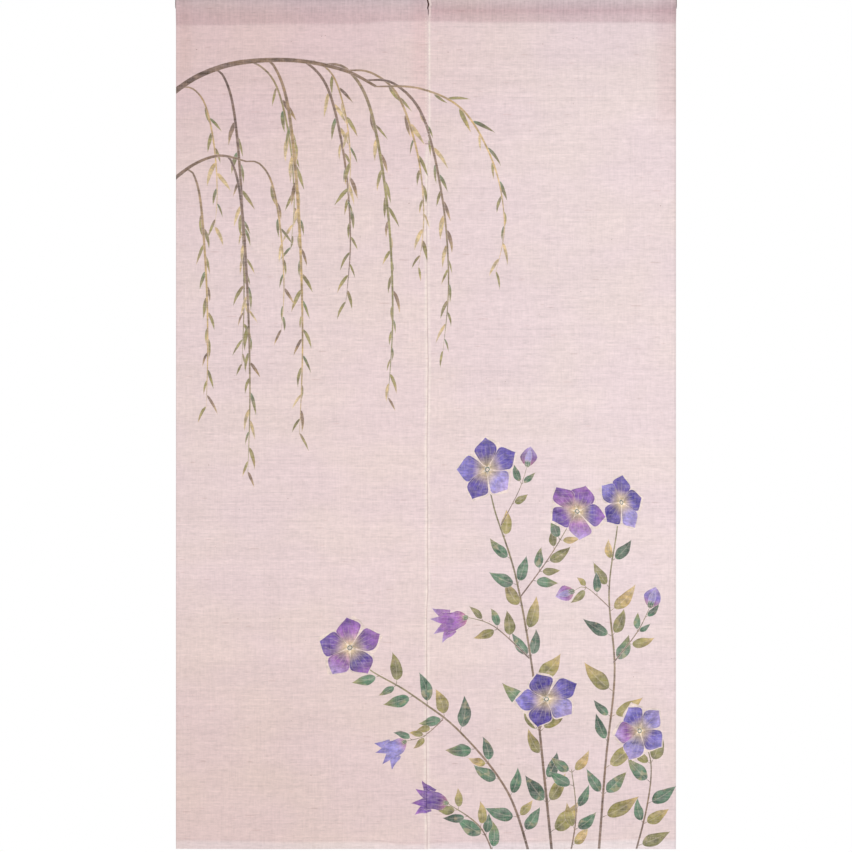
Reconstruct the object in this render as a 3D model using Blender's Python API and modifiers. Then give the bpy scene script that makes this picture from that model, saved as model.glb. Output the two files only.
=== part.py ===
"""Noren curtain on a rod: two hemp panels that hang side by side, each with a
sleeve over one wooden rod, sewn to each other for a hand's length below the
sleeves and open below that, with a narrow hem along the bottom.

Metres, +Z up. The origin is the middle of the rod's axis, the front faces -Y
and +X points to the right of the front.
"""

import math

import bpy

# Driving sizes of the hung curtain
CURTAIN_WIDTH = 0.880
CURTAIN_DROP = 1.500
SLIT_X = 0.0026  # the slit lies a little right of the middle
SLIT_GAP = 0.0010
SHEET_THICKNESS = 0.0010
LAYER_GAP = 0.0004  # air between two layers of a turned edge

# The rod that carries it
ROD_RADIUS = 0.0100
ROD_BEYOND_CLOTH = 0.0010  # how far each end stands out of the sleeve
ROD_SIDES = 32
ROD_SHARP_ANGLE = math.radians(40)
ROD_CLEARANCE = 0.0004  # between the rod and the sleeve's inner face

# The turned edges
LEFT_SLEEVE_DEPTH = 0.048
RIGHT_SLEEVE_DEPTH = 0.043
SLEEVE_ALLOWANCE = 0.008  # raw edge turned in behind the sleeve's stitch line
HEM_DEPTH = 0.018
HEM_ALLOWANCE = 0.006

# The gap between the two sleeves is wider than the slit and winds a little
SLEEVE_EDGE_DRAWN_IN = 0.0005
SLEEVE_EDGE_WOBBLE = 0.0009
WOBBLE_LENGTH = 0.012
WOBBLE_PHASE = 1.2
EDGE_BAND = 0.030  # the width of cloth that takes up the wobble

# How finely a panel is divided
COLUMNS = 12
DROP_ROWS = 24
TURN_SEGMENTS = 4
HEM_TURN_SEGMENTS = 6
ROD_TURN_SEGMENTS = 14
SLOPE_ROWS = 3
HEM_BACK_ROWS = 2

# Soft upright folds, in metres: name, place from the panel's left edge, half
# width, how far the cloth stands back from its plane where the fold is fullest,
# how far below the stitch line the fold starts and where it is fullest
LEFT_FOLDS = [
    ("outer edge leans forward", 0.000, 0.090, -0.0022, 0.0, 1.452),
    ("hollow beside the outer edge", 0.135, 0.080, 0.0024, 0.0, 1.452),
    ("low crown in the middle", 0.265, 0.085, -0.0020, 0.0, 1.452),
    ("hollow before the slit", 0.380, 0.060, 0.0016, 0.0, 1.452),
    ("free slit edge stands back", 0.442, 0.030, 0.0006, 0.153, 0.300),
]
RIGHT_FOLDS = [
    ("free slit edge stands forward", 0.000, 0.030, -0.0014, 0.158, 0.300),
    ("hollow after the slit", 0.110, 0.075, 0.0022, 0.0, 1.457),
    ("low crown in the middle", 0.235, 0.090, -0.0024, 0.0, 1.457),
    ("outer edge stands back", 0.437, 0.100, 0.0020, 0.0, 1.457),
]
FOLD_GROWTH = 1.3  # the folds open out faster than in a straight line

# How much each panel's bottom edge dips, and over what width
BOTTOM_DIP = 0.0008
BOTTOM_DIP_WIDTH = 0.290

# Colours, from the front
CLOTH_COLOUR = (0.79, 0.64, 0.63, 1.0)
CLOTH_ROUGHNESS = 0.90
ROD_COLOUR = (0.067, 0.030, 0.024, 1.0)
ROD_ROUGHNESS = 0.45

# Sizes that follow from these
LAYER_PITCH = SHEET_THICKNESS + LAYER_GAP
SLEEVE_RADIUS = ROD_RADIUS + ROD_CLEARANCE + SHEET_THICKNESS / 2
TOP_Z = SLEEVE_RADIUS + SHEET_THICKNESS / 2
BOTTOM_Z = TOP_Z - CURTAIN_DROP
PANELS = [
    {
        "name": "left_panel",
        "left": -CURTAIN_WIDTH / 2,
        "right": SLIT_X - SLIT_GAP / 2,
        "slit_side": "right",
        "sleeve_depth": LEFT_SLEEVE_DEPTH,
        "folds": LEFT_FOLDS,
    },
    {
        "name": "right_panel",
        "left": SLIT_X + SLIT_GAP / 2,
        "right": CURTAIN_WIDTH / 2,
        "slit_side": "left",
        "sleeve_depth": RIGHT_SLEEVE_DEPTH,
        "folds": RIGHT_FOLDS,
    },
]


def clear_scene():
    """Remove every object and collection that the scene holds."""
    for thing in list(bpy.data.objects):
        bpy.data.objects.remove(thing, do_unlink=True)
    for group in list(bpy.data.collections):
        bpy.data.collections.remove(group)


def new_collection(name):
    """A collection linked to the scene."""
    group = bpy.data.collections.new(name)
    bpy.context.scene.collection.children.link(group)
    return group


def new_material(name, colour, roughness):
    """A Principled material of one colour."""
    material = bpy.data.materials.new(name)
    material.use_nodes = True
    shader = material.node_tree.nodes["Principled BSDF"]
    shader.inputs["Base Color"].default_value = colour
    shader.inputs["Roughness"].default_value = roughness
    shader.inputs["Metallic"].default_value = 0.0
    return material


def finish_piece(piece, name, material, group):
    """Name a new piece, give it its material and move it to its collection."""
    piece.name = name
    piece.data.name = name
    piece.data.materials.append(material)
    for old_group in list(piece.users_collection):
        old_group.objects.unlink(piece)
    group.objects.link(piece)


def turn(centre, radius, start, end, segments):
    """Points on an arc, as (y, z); angles in radians, 0 towards +Y."""
    points = []
    for i in range(segments + 1):
        angle = start + (end - start) * i / segments
        y = centre[0] + radius * math.cos(angle)
        z = centre[1] + radius * math.sin(angle)
        points.append((y, z))
    return points


def straight(start, end, rows):
    """Points along a line from start to end, leaving out both ends."""
    points = []
    for i in range(1, rows):
        share = i / rows
        y = start[0] + (end[0] - start[0]) * share
        z = start[1] + (end[1] - start[1]) * share
        points.append((y, z))
    return points


def tangent_angle(point, side):
    """The angle on the sleeve's circle where a line from point touches it."""
    distance = math.hypot(point[0], point[1])
    towards = math.atan2(point[1], point[0])
    return towards + side * math.acos(SLEEVE_RADIUS / distance)


def sleeve_path(depth):
    """The middle of the cloth through the sleeve, from the edge turned in at
    the back, over the rod and down the front to the stitch line."""
    stitch_z = TOP_Z - depth
    inner_end = (LAYER_PITCH, stitch_z + SLEEVE_ALLOWANCE)
    fold_centre = (LAYER_PITCH * 1.5, stitch_z)
    fold = turn(fold_centre, LAYER_PITCH / 2, math.pi, 2 * math.pi, TURN_SEGMENTS)
    back_foot = (LAYER_PITCH * 2, stitch_z + SLEEVE_ALLOWANCE)
    front_foot = (0.0, stitch_z)
    back_angle = tangent_angle(back_foot, 1)
    front_angle = 2 * math.pi + tangent_angle(front_foot, -1)
    loop = turn((0.0, 0.0), SLEEVE_RADIUS, back_angle, front_angle, ROD_TURN_SEGMENTS)
    path = [inner_end] + fold + [back_foot]
    path += straight(back_foot, loop[0], SLOPE_ROWS) + loop
    path += straight(loop[-1], front_foot, SLOPE_ROWS) + [front_foot]
    return path


def drop_path(depth):
    """The middle of the cloth from the stitch line down and through the hem."""
    stitch = (0.0, TOP_Z - depth)
    turn_z = BOTTOM_Z + SHEET_THICKNESS / 2 + LAYER_PITCH
    hem_top = BOTTOM_Z + HEM_DEPTH
    path = straight(stitch, (0.0, turn_z), DROP_ROWS)
    path += turn((LAYER_PITCH, turn_z), LAYER_PITCH, math.pi, 2 * math.pi, HEM_TURN_SEGMENTS)
    path += straight((LAYER_PITCH * 2, turn_z), (LAYER_PITCH * 2, hem_top), HEM_BACK_ROWS)
    path += turn((LAYER_PITCH * 1.5, hem_top), LAYER_PITCH / 2, 0.0, math.pi, TURN_SEGMENTS)
    path.append((LAYER_PITCH, hem_top - HEM_ALLOWANCE))
    return path


def fallen_share(z, stitch_z):
    """0 at the stitch line and above, 1 at the bottom edge."""
    return max(0.0, (stitch_z - z) / (stitch_z - BOTTOM_Z))


def stand_back(across, z, stitch_z, folds):
    """How far the folds set the cloth back from its plane."""
    fallen = stitch_z - z
    total = 0.0
    for _, place, half_width, depth, start, full in folds:
        grown = min(1.0, max(0.0, (fallen - start) / (full - start)))
        bell = math.exp(-(((across - place) / half_width) ** 2))
        total += depth * bell * grown**FOLD_GROWTH
    return total


def dip(across, z, stitch_z):
    """How far the cloth sinks below its level, most of all at the bottom."""
    wave = math.cos(2 * math.pi * across / BOTTOM_DIP_WIDTH)
    return BOTTOM_DIP * 0.5 * (1 - wave) * fallen_share(z, stitch_z)


def edge_shift(from_slit_edge, z, stitch_z, inwards):
    """How far the sleeve's slit edge lies to the right of a straight edge:
    drawn back into its panel, and winding to the same side as its neighbour."""
    if z <= stitch_z or from_slit_edge >= EDGE_BAND:
        return 0.0
    eased = 1 - from_slit_edge / EDGE_BAND
    raised = min(1.0, (z - stitch_z) / WOBBLE_LENGTH)
    wobble = math.sin(2 * math.pi * z / WOBBLE_LENGTH + WOBBLE_PHASE)
    shift = inwards * SLEEVE_EDGE_DRAWN_IN + SLEEVE_EDGE_WOBBLE * wobble
    return eased * raised * shift


def build_panel(panel_sizes, material, group):
    """One panel: a grid whose rows follow the cloth's path from the edge
    turned in at the sleeve to the edge turned in at the hem."""
    left = panel_sizes["left"]
    right = panel_sizes["right"]
    depth = panel_sizes["sleeve_depth"]
    slit_on_right = panel_sizes["slit_side"] == "right"
    path = sleeve_path(depth) + drop_path(depth)
    stitch_z = TOP_Z - depth
    rows = len(path) - 1
    bpy.ops.mesh.primitive_grid_add(
        x_subdivisions=COLUMNS, y_subdivisions=rows, size=1.0, location=(0, 0, 0)
    )
    panel = bpy.context.object
    width = right - left
    for vertex in panel.data.vertices:
        across = (vertex.co.x + 0.5) * width
        row = round((vertex.co.y + 0.5) * rows)
        y, z = path[row]
        from_slit_edge = width - across if slit_on_right else across
        inwards = -1 if slit_on_right else 1
        vertex.co = (
            left + across + edge_shift(from_slit_edge, z, stitch_z, inwards),
            y + stand_back(across, z, stitch_z, panel_sizes["folds"]),
            z - dip(across, z, stitch_z),
        )
    thicken = panel.modifiers.new("Cloth thickness", "SOLIDIFY")
    thicken.thickness = SHEET_THICKNESS
    thicken.offset = 0.0
    thicken.use_even_offset = True
    panel.data.shade_smooth()
    finish_piece(panel, panel_sizes["name"], material, group)


def build_rod(material, group):
    """The round rod that runs through both sleeves."""
    bpy.ops.mesh.primitive_cylinder_add(
        vertices=ROD_SIDES,
        radius=ROD_RADIUS,
        depth=CURTAIN_WIDTH + 2 * ROD_BEYOND_CLOTH,
        location=(0, 0, 0),
        rotation=(0, math.pi / 2, 0),
    )
    rod = bpy.context.object
    rod.data.shade_smooth()
    rod.data.set_sharp_from_angle(angle=ROD_SHARP_ANGLE)
    finish_piece(rod, "rod", material, group)


def main():
    clear_scene()
    group = new_collection("noren_curtain")
    cloth = new_material("pink_hemp", CLOTH_COLOUR, CLOTH_ROUGHNESS)
    wood = new_material("dark_wood", ROD_COLOUR, ROD_ROUGHNESS)
    for panel_sizes in PANELS:
        build_panel(panel_sizes, cloth, group)
    build_rod(wood, group)


main()
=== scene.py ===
# %% [markdown]
# # A noren on its rod
#
# A noren is the split curtain of a Japanese doorway. This one is two lengths of pale pink hemp cloth.
# The top of each is turned back and sewn down as a sleeve, and a wooden rod runs through both sleeves. The
# two are sewn to each other for a quarter of a metre. Below that they hang free, with a slit between them.
#
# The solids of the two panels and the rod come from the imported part. They have the right size and the right
# hang, but they are plain. Here each gets the finish of the real thing: woven, hand-dyed cloth with its
# selvedges and sewing threads, and stained wood.

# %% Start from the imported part
import math
import random

import bpy
import numpy as np
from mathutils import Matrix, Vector
from mathutils.geometry import delaunay_2d_cdt
from mathutils.kdtree import KDTree


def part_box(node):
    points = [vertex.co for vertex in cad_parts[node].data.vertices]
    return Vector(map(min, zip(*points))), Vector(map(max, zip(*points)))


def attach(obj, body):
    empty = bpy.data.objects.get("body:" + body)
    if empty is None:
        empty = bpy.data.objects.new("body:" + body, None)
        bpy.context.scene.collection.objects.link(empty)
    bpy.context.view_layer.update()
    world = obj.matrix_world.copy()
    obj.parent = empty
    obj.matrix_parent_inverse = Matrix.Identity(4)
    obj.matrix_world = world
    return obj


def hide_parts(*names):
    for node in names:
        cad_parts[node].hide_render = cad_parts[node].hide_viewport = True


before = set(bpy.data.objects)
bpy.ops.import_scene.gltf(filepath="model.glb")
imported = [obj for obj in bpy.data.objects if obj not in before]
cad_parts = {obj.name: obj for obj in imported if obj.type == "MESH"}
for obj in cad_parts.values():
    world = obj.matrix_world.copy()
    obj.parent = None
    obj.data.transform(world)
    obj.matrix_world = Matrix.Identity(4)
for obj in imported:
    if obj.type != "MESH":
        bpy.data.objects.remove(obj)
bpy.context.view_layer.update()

body = "root"

# %% [markdown]
# ## Sizes
#
# Everything is in metres, +Z is up, and the front of the curtain faces -Y. The outer sizes are read from the
# solids, so that the cloth hangs exactly where they are. The sewing sizes are those of the real curtain, and
# each is a named value, so that a deeper hem or sleeve is one change.

# %% Sizes from the solids, and the sewing sizes
left_low, left_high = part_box("left_panel")
right_low, right_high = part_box("right_panel")
rod_low, rod_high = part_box("rod")

CLOTH_LEFT, CLOTH_RIGHT = left_low[0], right_high[0]
TOP_Z = left_high[2]
ROD_RADIUS = (rod_high[2] - rod_low[2]) / 2
CURTAIN_DROP = 1.500
BOTTOM_Z = TOP_Z - CURTAIN_DROP

SOLID_THICKNESS = 0.0010   # of the plain solids, whose middle the real cloth follows
CLOTH_THICKNESS = 0.00068
SELVEDGE_THICKNESS = 0.00090
LAYER_PITCH = 0.00085      # from one layer of a turned edge to the next
SLEEVE_RADIUS = TOP_Z - SOLID_THICKNESS / 2

SLEEVE_ALLOWANCE = 0.008
HEM_DEPTH = 0.018
HEM_ALLOWANCE = 0.006
STITCH_FROM_EDGE = 0.0016  # a row of stitches lies this far inside a turned edge

SLIT_X = 0.0026
SEAM_TOP_Z = -0.0235       # where the panels begin to be sewn to each other
SEAM_FOOT_Z = -0.2473      # and where the slit opens
print("curtain", round(CLOTH_RIGHT - CLOTH_LEFT, 4), "wide, rod", round(2 * ROD_RADIUS, 4))

# %% [markdown]
# ## How the cloth runs
#
# A sewn sheet is easiest to think of as it lies flat on the table: a strip with a distance across it and a
# distance along it. The profile below says where each distance along the strip ends up once it is hung: from
# the raw edge hidden in the sleeve, up the back, over the rod, down the front, round the hem and to the edge
# hidden there. It is straight runs and arcs, so the layers stay parallel, as they do in cloth.

# %% The profile of a panel, from the edge in the sleeve to the edge in the hem
def turn(centre, radius, start, end, steps):
    angles = np.linspace(start, end, steps + 1)
    return [(centre[0] + radius * math.cos(a), centre[1] + radius * math.sin(a)) for a in angles]


def tangent_angle(point, side):
    towards = math.atan2(point[1], point[0])
    return towards + side * math.acos(SLEEVE_RADIUS / math.hypot(*point))


def panel_profile(sleeve_depth, step):
    """Points (y, z) down the middle of the cloth, where the front starts, and where it meets the rod."""
    stitch_z = TOP_Z - sleeve_depth
    back_foot = (LAYER_PITCH * 2, stitch_z + SLEEVE_ALLOWANCE)
    points = [(LAYER_PITCH, stitch_z + SLEEVE_ALLOWANCE)]
    points += turn((LAYER_PITCH * 1.5, stitch_z), LAYER_PITCH / 2, math.pi, 2 * math.pi, 6)
    over_rod = turn((0, 0), SLEEVE_RADIUS, tangent_angle(back_foot, 1),
                    2 * math.pi + tangent_angle((0, stitch_z), -1), 28)
    points += [back_foot] + between_points(back_foot, over_rod[0], step) + over_rod
    points += between_points(over_rod[-1], (0, stitch_z), step / 4)
    front_start = len(points)
    hem_turn_z = BOTTOM_Z + CLOTH_THICKNESS / 2 + LAYER_PITCH
    hem_top = BOTTOM_Z + HEM_DEPTH
    below_stitch, above_hem = (0, stitch_z - step), (0, hem_top + step / 2)
    for start, end, size in (((0, stitch_z), below_stitch, step / 4), (below_stitch, above_hem, step),
                             (above_hem, (0, hem_turn_z), step / 4)):
        points += [start] + between_points(start, end, size)
    points += turn((LAYER_PITCH, hem_turn_z), LAYER_PITCH, math.pi, 2 * math.pi, 8)
    points += between_points((LAYER_PITCH * 2, hem_turn_z), (LAYER_PITCH * 2, hem_top), step / 2)
    points += turn((LAYER_PITCH * 1.5, hem_top), LAYER_PITCH / 2, 0, math.pi, 6)
    points += [(LAYER_PITCH, hem_top - HEM_ALLOWANCE)]
    return points, front_start, (over_rod[0], over_rod[-1])


def between_points(start, end, step):
    """Points about a step apart between start and end, leaving out both."""
    count = max(1, math.ceil(math.dist(start, end) / step))
    shares = [i / count for i in range(1, count)]
    return [(start[0] + (end[0] - start[0]) * s, start[1] + (end[1] - start[1]) * s) for s in shares]


# %% [markdown]
# The two panels differ a little, as sewn things do. Each has its own sleeve depth, and its own soft upright
# folds, which open out towards the bottom. A fold has a place across the panel, a half width, how far it
# stands back from the plane, and the depths below the stitch line between which it grows. The sleeve's
# painted shade covers the doubled cloth, whose turned edge reaches a little below the stitches, as far as
# "sleeve_shade_below". "painted_sleeve_shade" gives, for a few heights, how deep the painted shade of the
# sleeve is, lighter over the rod's top, and how grey the dark rod seen through the sheer cloth is painted.
# The sewn lines aren't level either: "sleeve_line" and "hem_line" give, for a few places across, how far they
# stand above their even height.

# %% The two panels and their folds
PANELS = {
    "left": {
        "node": "left_panel", "left": CLOTH_LEFT, "right": left_high[0], "slit_on_right": True,
        "sleeve": 0.048, "sleeve_shade_below": 0.0003,
        "sleeve_line": [(0.000, -0.0018), (0.100, -0.0014), (0.135, 0.0), (0.325, 0.0002), (0.375, 0.0054),
                        (0.442, 0.0062)],
        "hem_line": [(0.0, 0.0022), (0.120, 0.0012), (0.180, -0.0008), (0.350, -0.0006), (0.400, -0.0048),
                     (0.442, -0.0042)],
        "painted_sleeve_shade": [(0.0054, 0.48, 1.0), (-0.0087, 0.60, 0.5), (-0.0228, 0.64, 0.1),
                        (-0.0360, 0.62, 0.1)],
        "folds": [
            ("outer edge leans forward", 0.000, 0.090, -0.0022, 0.0, 1.452),
            ("hollow beside the outer edge", 0.135, 0.080, 0.0024, 0.0, 1.452),
            ("low crown in the middle", 0.265, 0.085, -0.0020, 0.0, 1.452),
            ("hollow before the slit", 0.380, 0.060, 0.0016, 0.0, 1.452),
            ("free slit edge stands back", 0.442, 0.030, 0.0005, 0.211, 0.358),
        ],
    },
    "right": {
        "node": "right_panel", "left": right_low[0], "right": CLOTH_RIGHT, "slit_on_right": False,
        "sleeve": 0.043, "sleeve_shade_below": 0.0026,
        "sleeve_line": [(0.000, 0.0012), (0.035, 0.0018), (0.085, 0.0), (0.380, 0.0), (0.437, -0.0016)],
        "hem_line": [(0.0, -0.0040), (0.060, -0.0014), (0.200, -0.0008), (0.310, 0.0010), (0.360, 0.0034),
                     (0.437, 0.0034)],
        "painted_sleeve_shade": [(0.0054, 0.35, 0.3), (-0.0010, 0.75, 0.3), (-0.0080, 1.0, 0.2), (-0.0140, 0.95, 0.0),
                        (-0.0228, 0.68, 0.0), (-0.0320, 0.62, 0.0)],
        "folds": [
            ("free slit edge stands forward", 0.000, 0.030, -0.0011, 0.216, 0.358),
            ("hollow after the slit", 0.110, 0.075, 0.0022, 0.0, 1.457),
            ("low crown in the middle", 0.235, 0.090, -0.0024, 0.0, 1.457),
            ("outer edge stands back", 0.437, 0.100, 0.0020, 0.0, 1.457),
        ],
    },
}
FOLD_GROWTH = 1.3          # above 1, so that a fold opens faster the lower it gets
BOTTOM_DIP = 0.0008        # how far the lower edge sags between two folds
BOTTOM_DIP_WIDTH = 0.290
EDGE_BAND = 0.030          # the width of cloth that takes up what its slit edge does
GRID_STEP = 0.008

for panel in PANELS.values():
    panel["stitch_z"] = TOP_Z - panel["sleeve"]
    profile, front_start, panel["off_rod"] = panel_profile(panel["sleeve"], GRID_STEP)
    panel["profile"] = np.array(profile)
    gaps = np.linalg.norm(np.diff(panel["profile"], axis=0), axis=1)
    panel["along"] = np.concatenate([[0], np.cumsum(gaps)])
    panel["stitch_along"] = panel["along"][front_start]
    panel["turn_along"] = panel["along"][np.argmin(panel["profile"][:, 1])]
    panel["over_rod_along"] = panel["along"][np.argmax(panel["profile"][:, 1])]
    panel["width"] = panel["right"] - panel["left"]
    print(panel["node"], "flat", round(panel["width"], 4), "by", round(panel["along"][-1], 4))


# %% [markdown]
# Hemp is stiff and dry, so besides the broad folds it keeps small creases: short crimps below the sleeve,
# where the stitching draws the cloth in, and a faint ripple all over. These are sums of a few waves with
# fixed phases. Where a sewn line stands higher or lower than it should, the turned edge and the lean of the
# sleeve go with it.
#
# The slit edge gets its own course. The sleeves stand apart and wind a little, and the sewn part is drawn
# together. Below the seam the right panel's edge laps a millimetre in front of the left one, and the whole
# slit wanders to either side of a plumb line, as a hand-sewn one does.

# %% Where a point of the flat cloth hangs
def ease(value, low, high):
    share = np.clip((value - low) / (high - low), 0, 1)
    return share * share * (3 - 2 * share)


RIPPLES = [  # waves per metre across and down, phase, height
    (7.1, 2.3, 0.4, 0.00022), (11.3, -3.1, 2.1, 0.00016), (4.2, 5.7, 4.4, 0.00020), (16.7, 1.2, 1.3, 0.00010),
    (2.9, -8.4, 5.2, 0.00012),
]
CRIMPS = [(41.0, 0.7, 0.00016), (63.0, 2.9, 0.00012), (27.0, 4.6, 0.00014)]  # per metre, phase, height
RIPPLES_FULL = 0.12        # below the sleeve's stitches the ripples come in over this length,
CRIMPS_FULL = 0.008        # the crimps over this one,
CRIMPS_DIE = 0.035         # and the crimps die out over this one


def line_rise(panel, line, across):
    return np.interp(across, *np.transpose(panel[line]))


def follow_sewn_lines(panel, across, along, y, z):
    """Let the turned edges, and the cloth that leans from the sleeve's line to the rod, follow the lines."""
    (_, back_z), (front_y, front_z) = panel["off_rod"]
    rise = line_rise(panel, "sleeve_line", across)
    line_z = panel["stitch_z"] + rise
    in_front = along > panel["over_rod_along"]
    lean = front_y * np.maximum(z - line_z, 0) / (front_z - line_z)
    y = np.where(in_front & (z < front_z) & (z > panel["stitch_z"] - GRID_STEP), lean, y)
    z_back = z + rise * np.clip((back_z - z) / (back_z - panel["stitch_z"]), 0, 1)
    z_hem = z + line_rise(panel, "hem_line", across) * np.clip((z - BOTTOM_Z) / HEM_DEPTH, 0, 1)
    z = np.where(in_front, z, z_back)
    return y, np.where(along > panel["turn_along"], z_hem, z)


def hang(panel, across, along):
    """Where points of the flat cloth hang, as an array of (x, y, z)."""
    across, along = np.asarray(across, float), np.asarray(along, float)
    y = np.interp(along, panel["along"], panel["profile"][:, 0])
    z = np.interp(along, panel["along"], panel["profile"][:, 1])
    y, z = follow_sewn_lines(panel, across, along, y, z)
    fallen = panel["stitch_z"] - z
    for _, place, half_width, depth, start, full in panel["folds"]:
        grown = np.clip((fallen - start) / (full - start), 0, 1) ** FOLD_GROWTH
        y += depth * grown * np.exp(-(((across - place) / half_width) ** 2))
    for per_x, per_z, phase, height in RIPPLES:
        wave = np.sin(2 * math.pi * (per_x * (across + panel["left"]) + per_z * z) + phase)
        y += height * wave * ease(fallen, 0.0, RIPPLES_FULL)
    for per_x, phase, height in CRIMPS:
        wave = np.sin(2 * math.pi * per_x * across + phase)
        y += height * wave * ease(fallen, 0.0, CRIMPS_FULL) * np.exp(-np.maximum(fallen, 0) / CRIMPS_DIE)
    dip = BOTTOM_DIP * 0.5 * (1 - np.cos(2 * math.pi * across / BOTTOM_DIP_WIDTH))
    z_hung = z - dip * np.clip(fallen / (panel["stitch_z"] - BOTTOM_Z), 0, 1)
    x = panel["left"] + across + slit_course(panel, across, along, z)
    return np.stack([x, y, z_hung], axis=-1)


SLEEVE_GAP = np.transpose([  # height, how far the sleeves' gap lies right of the seam, and half its width
    (-0.0245, 0.0009, 0.0), (-0.0215, 0.0012, 0.0004), (-0.0130, 0.0014, 0.0005), (-0.0098, 0.0003, 0.0009),
    (-0.0034, 0.0019, 0.0013), (0.0040, 0.0001, 0.0011), (0.0114, 0.0012, 0.0010),
])
SLIT_WANDER = np.transpose([  # height, and how far the seam and the slit lie right of a plumb line
    (-1.49, 0.0006), (-1.45, 0.0006), (-1.41, -0.0003), (-1.29, -0.0012), (-1.20, -0.0002), (-1.07, -0.0001),
    (-1.03, 0.0020), (-0.98, 0.0016), (-0.945, 0.0010), (-0.90, 0.0014), (-0.82, 0.0005), (-0.775, 0.0004),
    (-0.70, 0.0016), (-0.63, 0.0024), (-0.565, 0.0010), (-0.48, 0.0005), (-0.396, -0.0002), (-0.31, 0.0009),
    (-0.269, 0.0012), (-0.05, 0.0012),
])
FREE_LAP = 0.0009          # how far the right panel's free edge laps over the left one
DRAWN_TOGETHER = 0.00042   # how far the seam draws each edge towards the other
SLEEVE_ENDS = (SEAM_TOP_Z - 0.004, SEAM_TOP_Z + 0.006)  # the heights between which the sleeve's part begins,
SEAM_LETS_GO = (SEAM_FOOT_Z - 0.030, SEAM_FOOT_Z)       # the seam's pull dies out,
LAP_BEGINS = (SEAM_FOOT_Z - 0.080, SEAM_FOOT_Z - 0.010)  # and the free edge starts to lap
BEFORE_TOP = 0.012         # the length of cloth behind the rod's top that takes up the winding gap
GAP_TO_SEAM = 0.060        # the height over which the sleeves' gap passes into the seam


def slit_course(panel, across, along, z):
    """How far the slit edge lies to the right of where a straight edge would."""
    inwards = -1 if panel["slit_on_right"] else 1
    from_slit = panel["width"] - across if panel["slit_on_right"] else across
    facing = ease(along, panel["over_rod_along"] - BEFORE_TOP, panel["over_rod_along"])
    sleeve = ease(z, *SLEEVE_ENDS) * facing
    above_seam = ease(z, SEAM_TOP_Z - GAP_TO_SEAM, SEAM_TOP_Z)
    heights, middles, half_gaps = SLEEVE_GAP
    shift = facing * (np.interp(z, heights, middles) + inwards * np.interp(z, heights, half_gaps))
    shift *= above_seam
    shift += (1 - sleeve) * -inwards * DRAWN_TOGETHER * ease(z, *SEAM_LETS_GO)
    if not panel["slit_on_right"]:
        shift -= FREE_LAP * (1 - ease(z, *LAP_BEGINS))
    shift += np.interp(z, *SLIT_WANDER) * (1 - above_seam)
    return shift * np.clip(1 - from_slit / EDGE_BAND, 0, 1)


# %% [markdown]
# ## The hand-dyed picture
#
# The dye is brushed on with clean edges, so the picture is built the way it is painted: one brush mark at a
# time, each a patch of small cells that knows how far along its stroke (0 to 1) and how far across it
# (-1 to 1) every corner lies. Later the cloth is cut along the outlines of the marks, which keeps every edge
# sharp at any distance, and the finish uses the two numbers for veins, pooled pigment and dry edges.
#
# The picture itself is a common pair: bellflowers that rise from the lower right, and willow that hangs in
# from the upper left. Its places are in millimetres, from the curtain's top left corner, y downwards.

# %% Dye colours, as seen on the cloth
def dye(red, green, blue):
    """A colour given as it looks on a screen, from 0 to 255, as the linear numbers of a shader."""
    linear = []
    for value in (red, green, blue):
        v = value / 255
        linear.append(v / 12.92 if v <= 0.04045 else ((v + 0.055) / 1.055) ** 2.4)
    return tuple(linear)


DYES = {
    "deep_violet": dye(84, 70, 156), "blue_violet": dye(100, 90, 176), "violet": dye(116, 78, 162),
    "orchid": dye(158, 102, 180), "lilac": dye(146, 138, 206), "pale_lilac": dye(184, 164, 216),
    "ochre": dye(203, 172, 112), "straw": dye(216, 192, 142), "olive": dye(152, 144, 84),
    "moss": dye(124, 124, 74), "green": dye(86, 128, 100), "deep_green": dye(66, 100, 82),
    "brown": dye(136, 112, 88), "dark_brown": dye(104, 84, 70), "cream": dye(240, 224, 206),
    "rose": dye(196, 132, 150),
}


# %% [markdown]
# A smooth line through a few points carries every mark. The Catmull-Rom curve passes through its points, so
# a stem goes where it is told, and a mark's width comes from a short table of shares.

# %% Smooth lines and width tables
def smooth_line(points, step):
    """The points of a Catmull-Rom curve through the given ones, about a step apart."""
    p = np.array([points[0]] + list(points) + [points[-1]], float)
    line = []
    for a, b, c, d in zip(p, p[1:], p[2:], p[3:]):
        count = max(2, math.ceil(math.dist(b, c) / step))
        for t in np.arange(count) / count:
            line.append(0.5 * (2 * b + (c - a) * t + (2 * a - 5 * b + 4 * c - d) * t**2
                               + (3 * b - a - 3 * c + d) * t**3))
    line.append(p[-2])
    return np.array(line)


def shares_along(line):
    runs = np.concatenate([[0], np.cumsum(np.linalg.norm(np.diff(line, axis=0), axis=1))])
    return runs / runs[-1]


def swelling(root, tip):
    """A table that swells from nothing and falls back to it. A higher number makes that end more pointed."""
    shares = np.linspace(0, 1, 33)
    widths = shares**root * (1 - shares) ** tip
    return list(zip(shares, widths / widths.max()))


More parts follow.
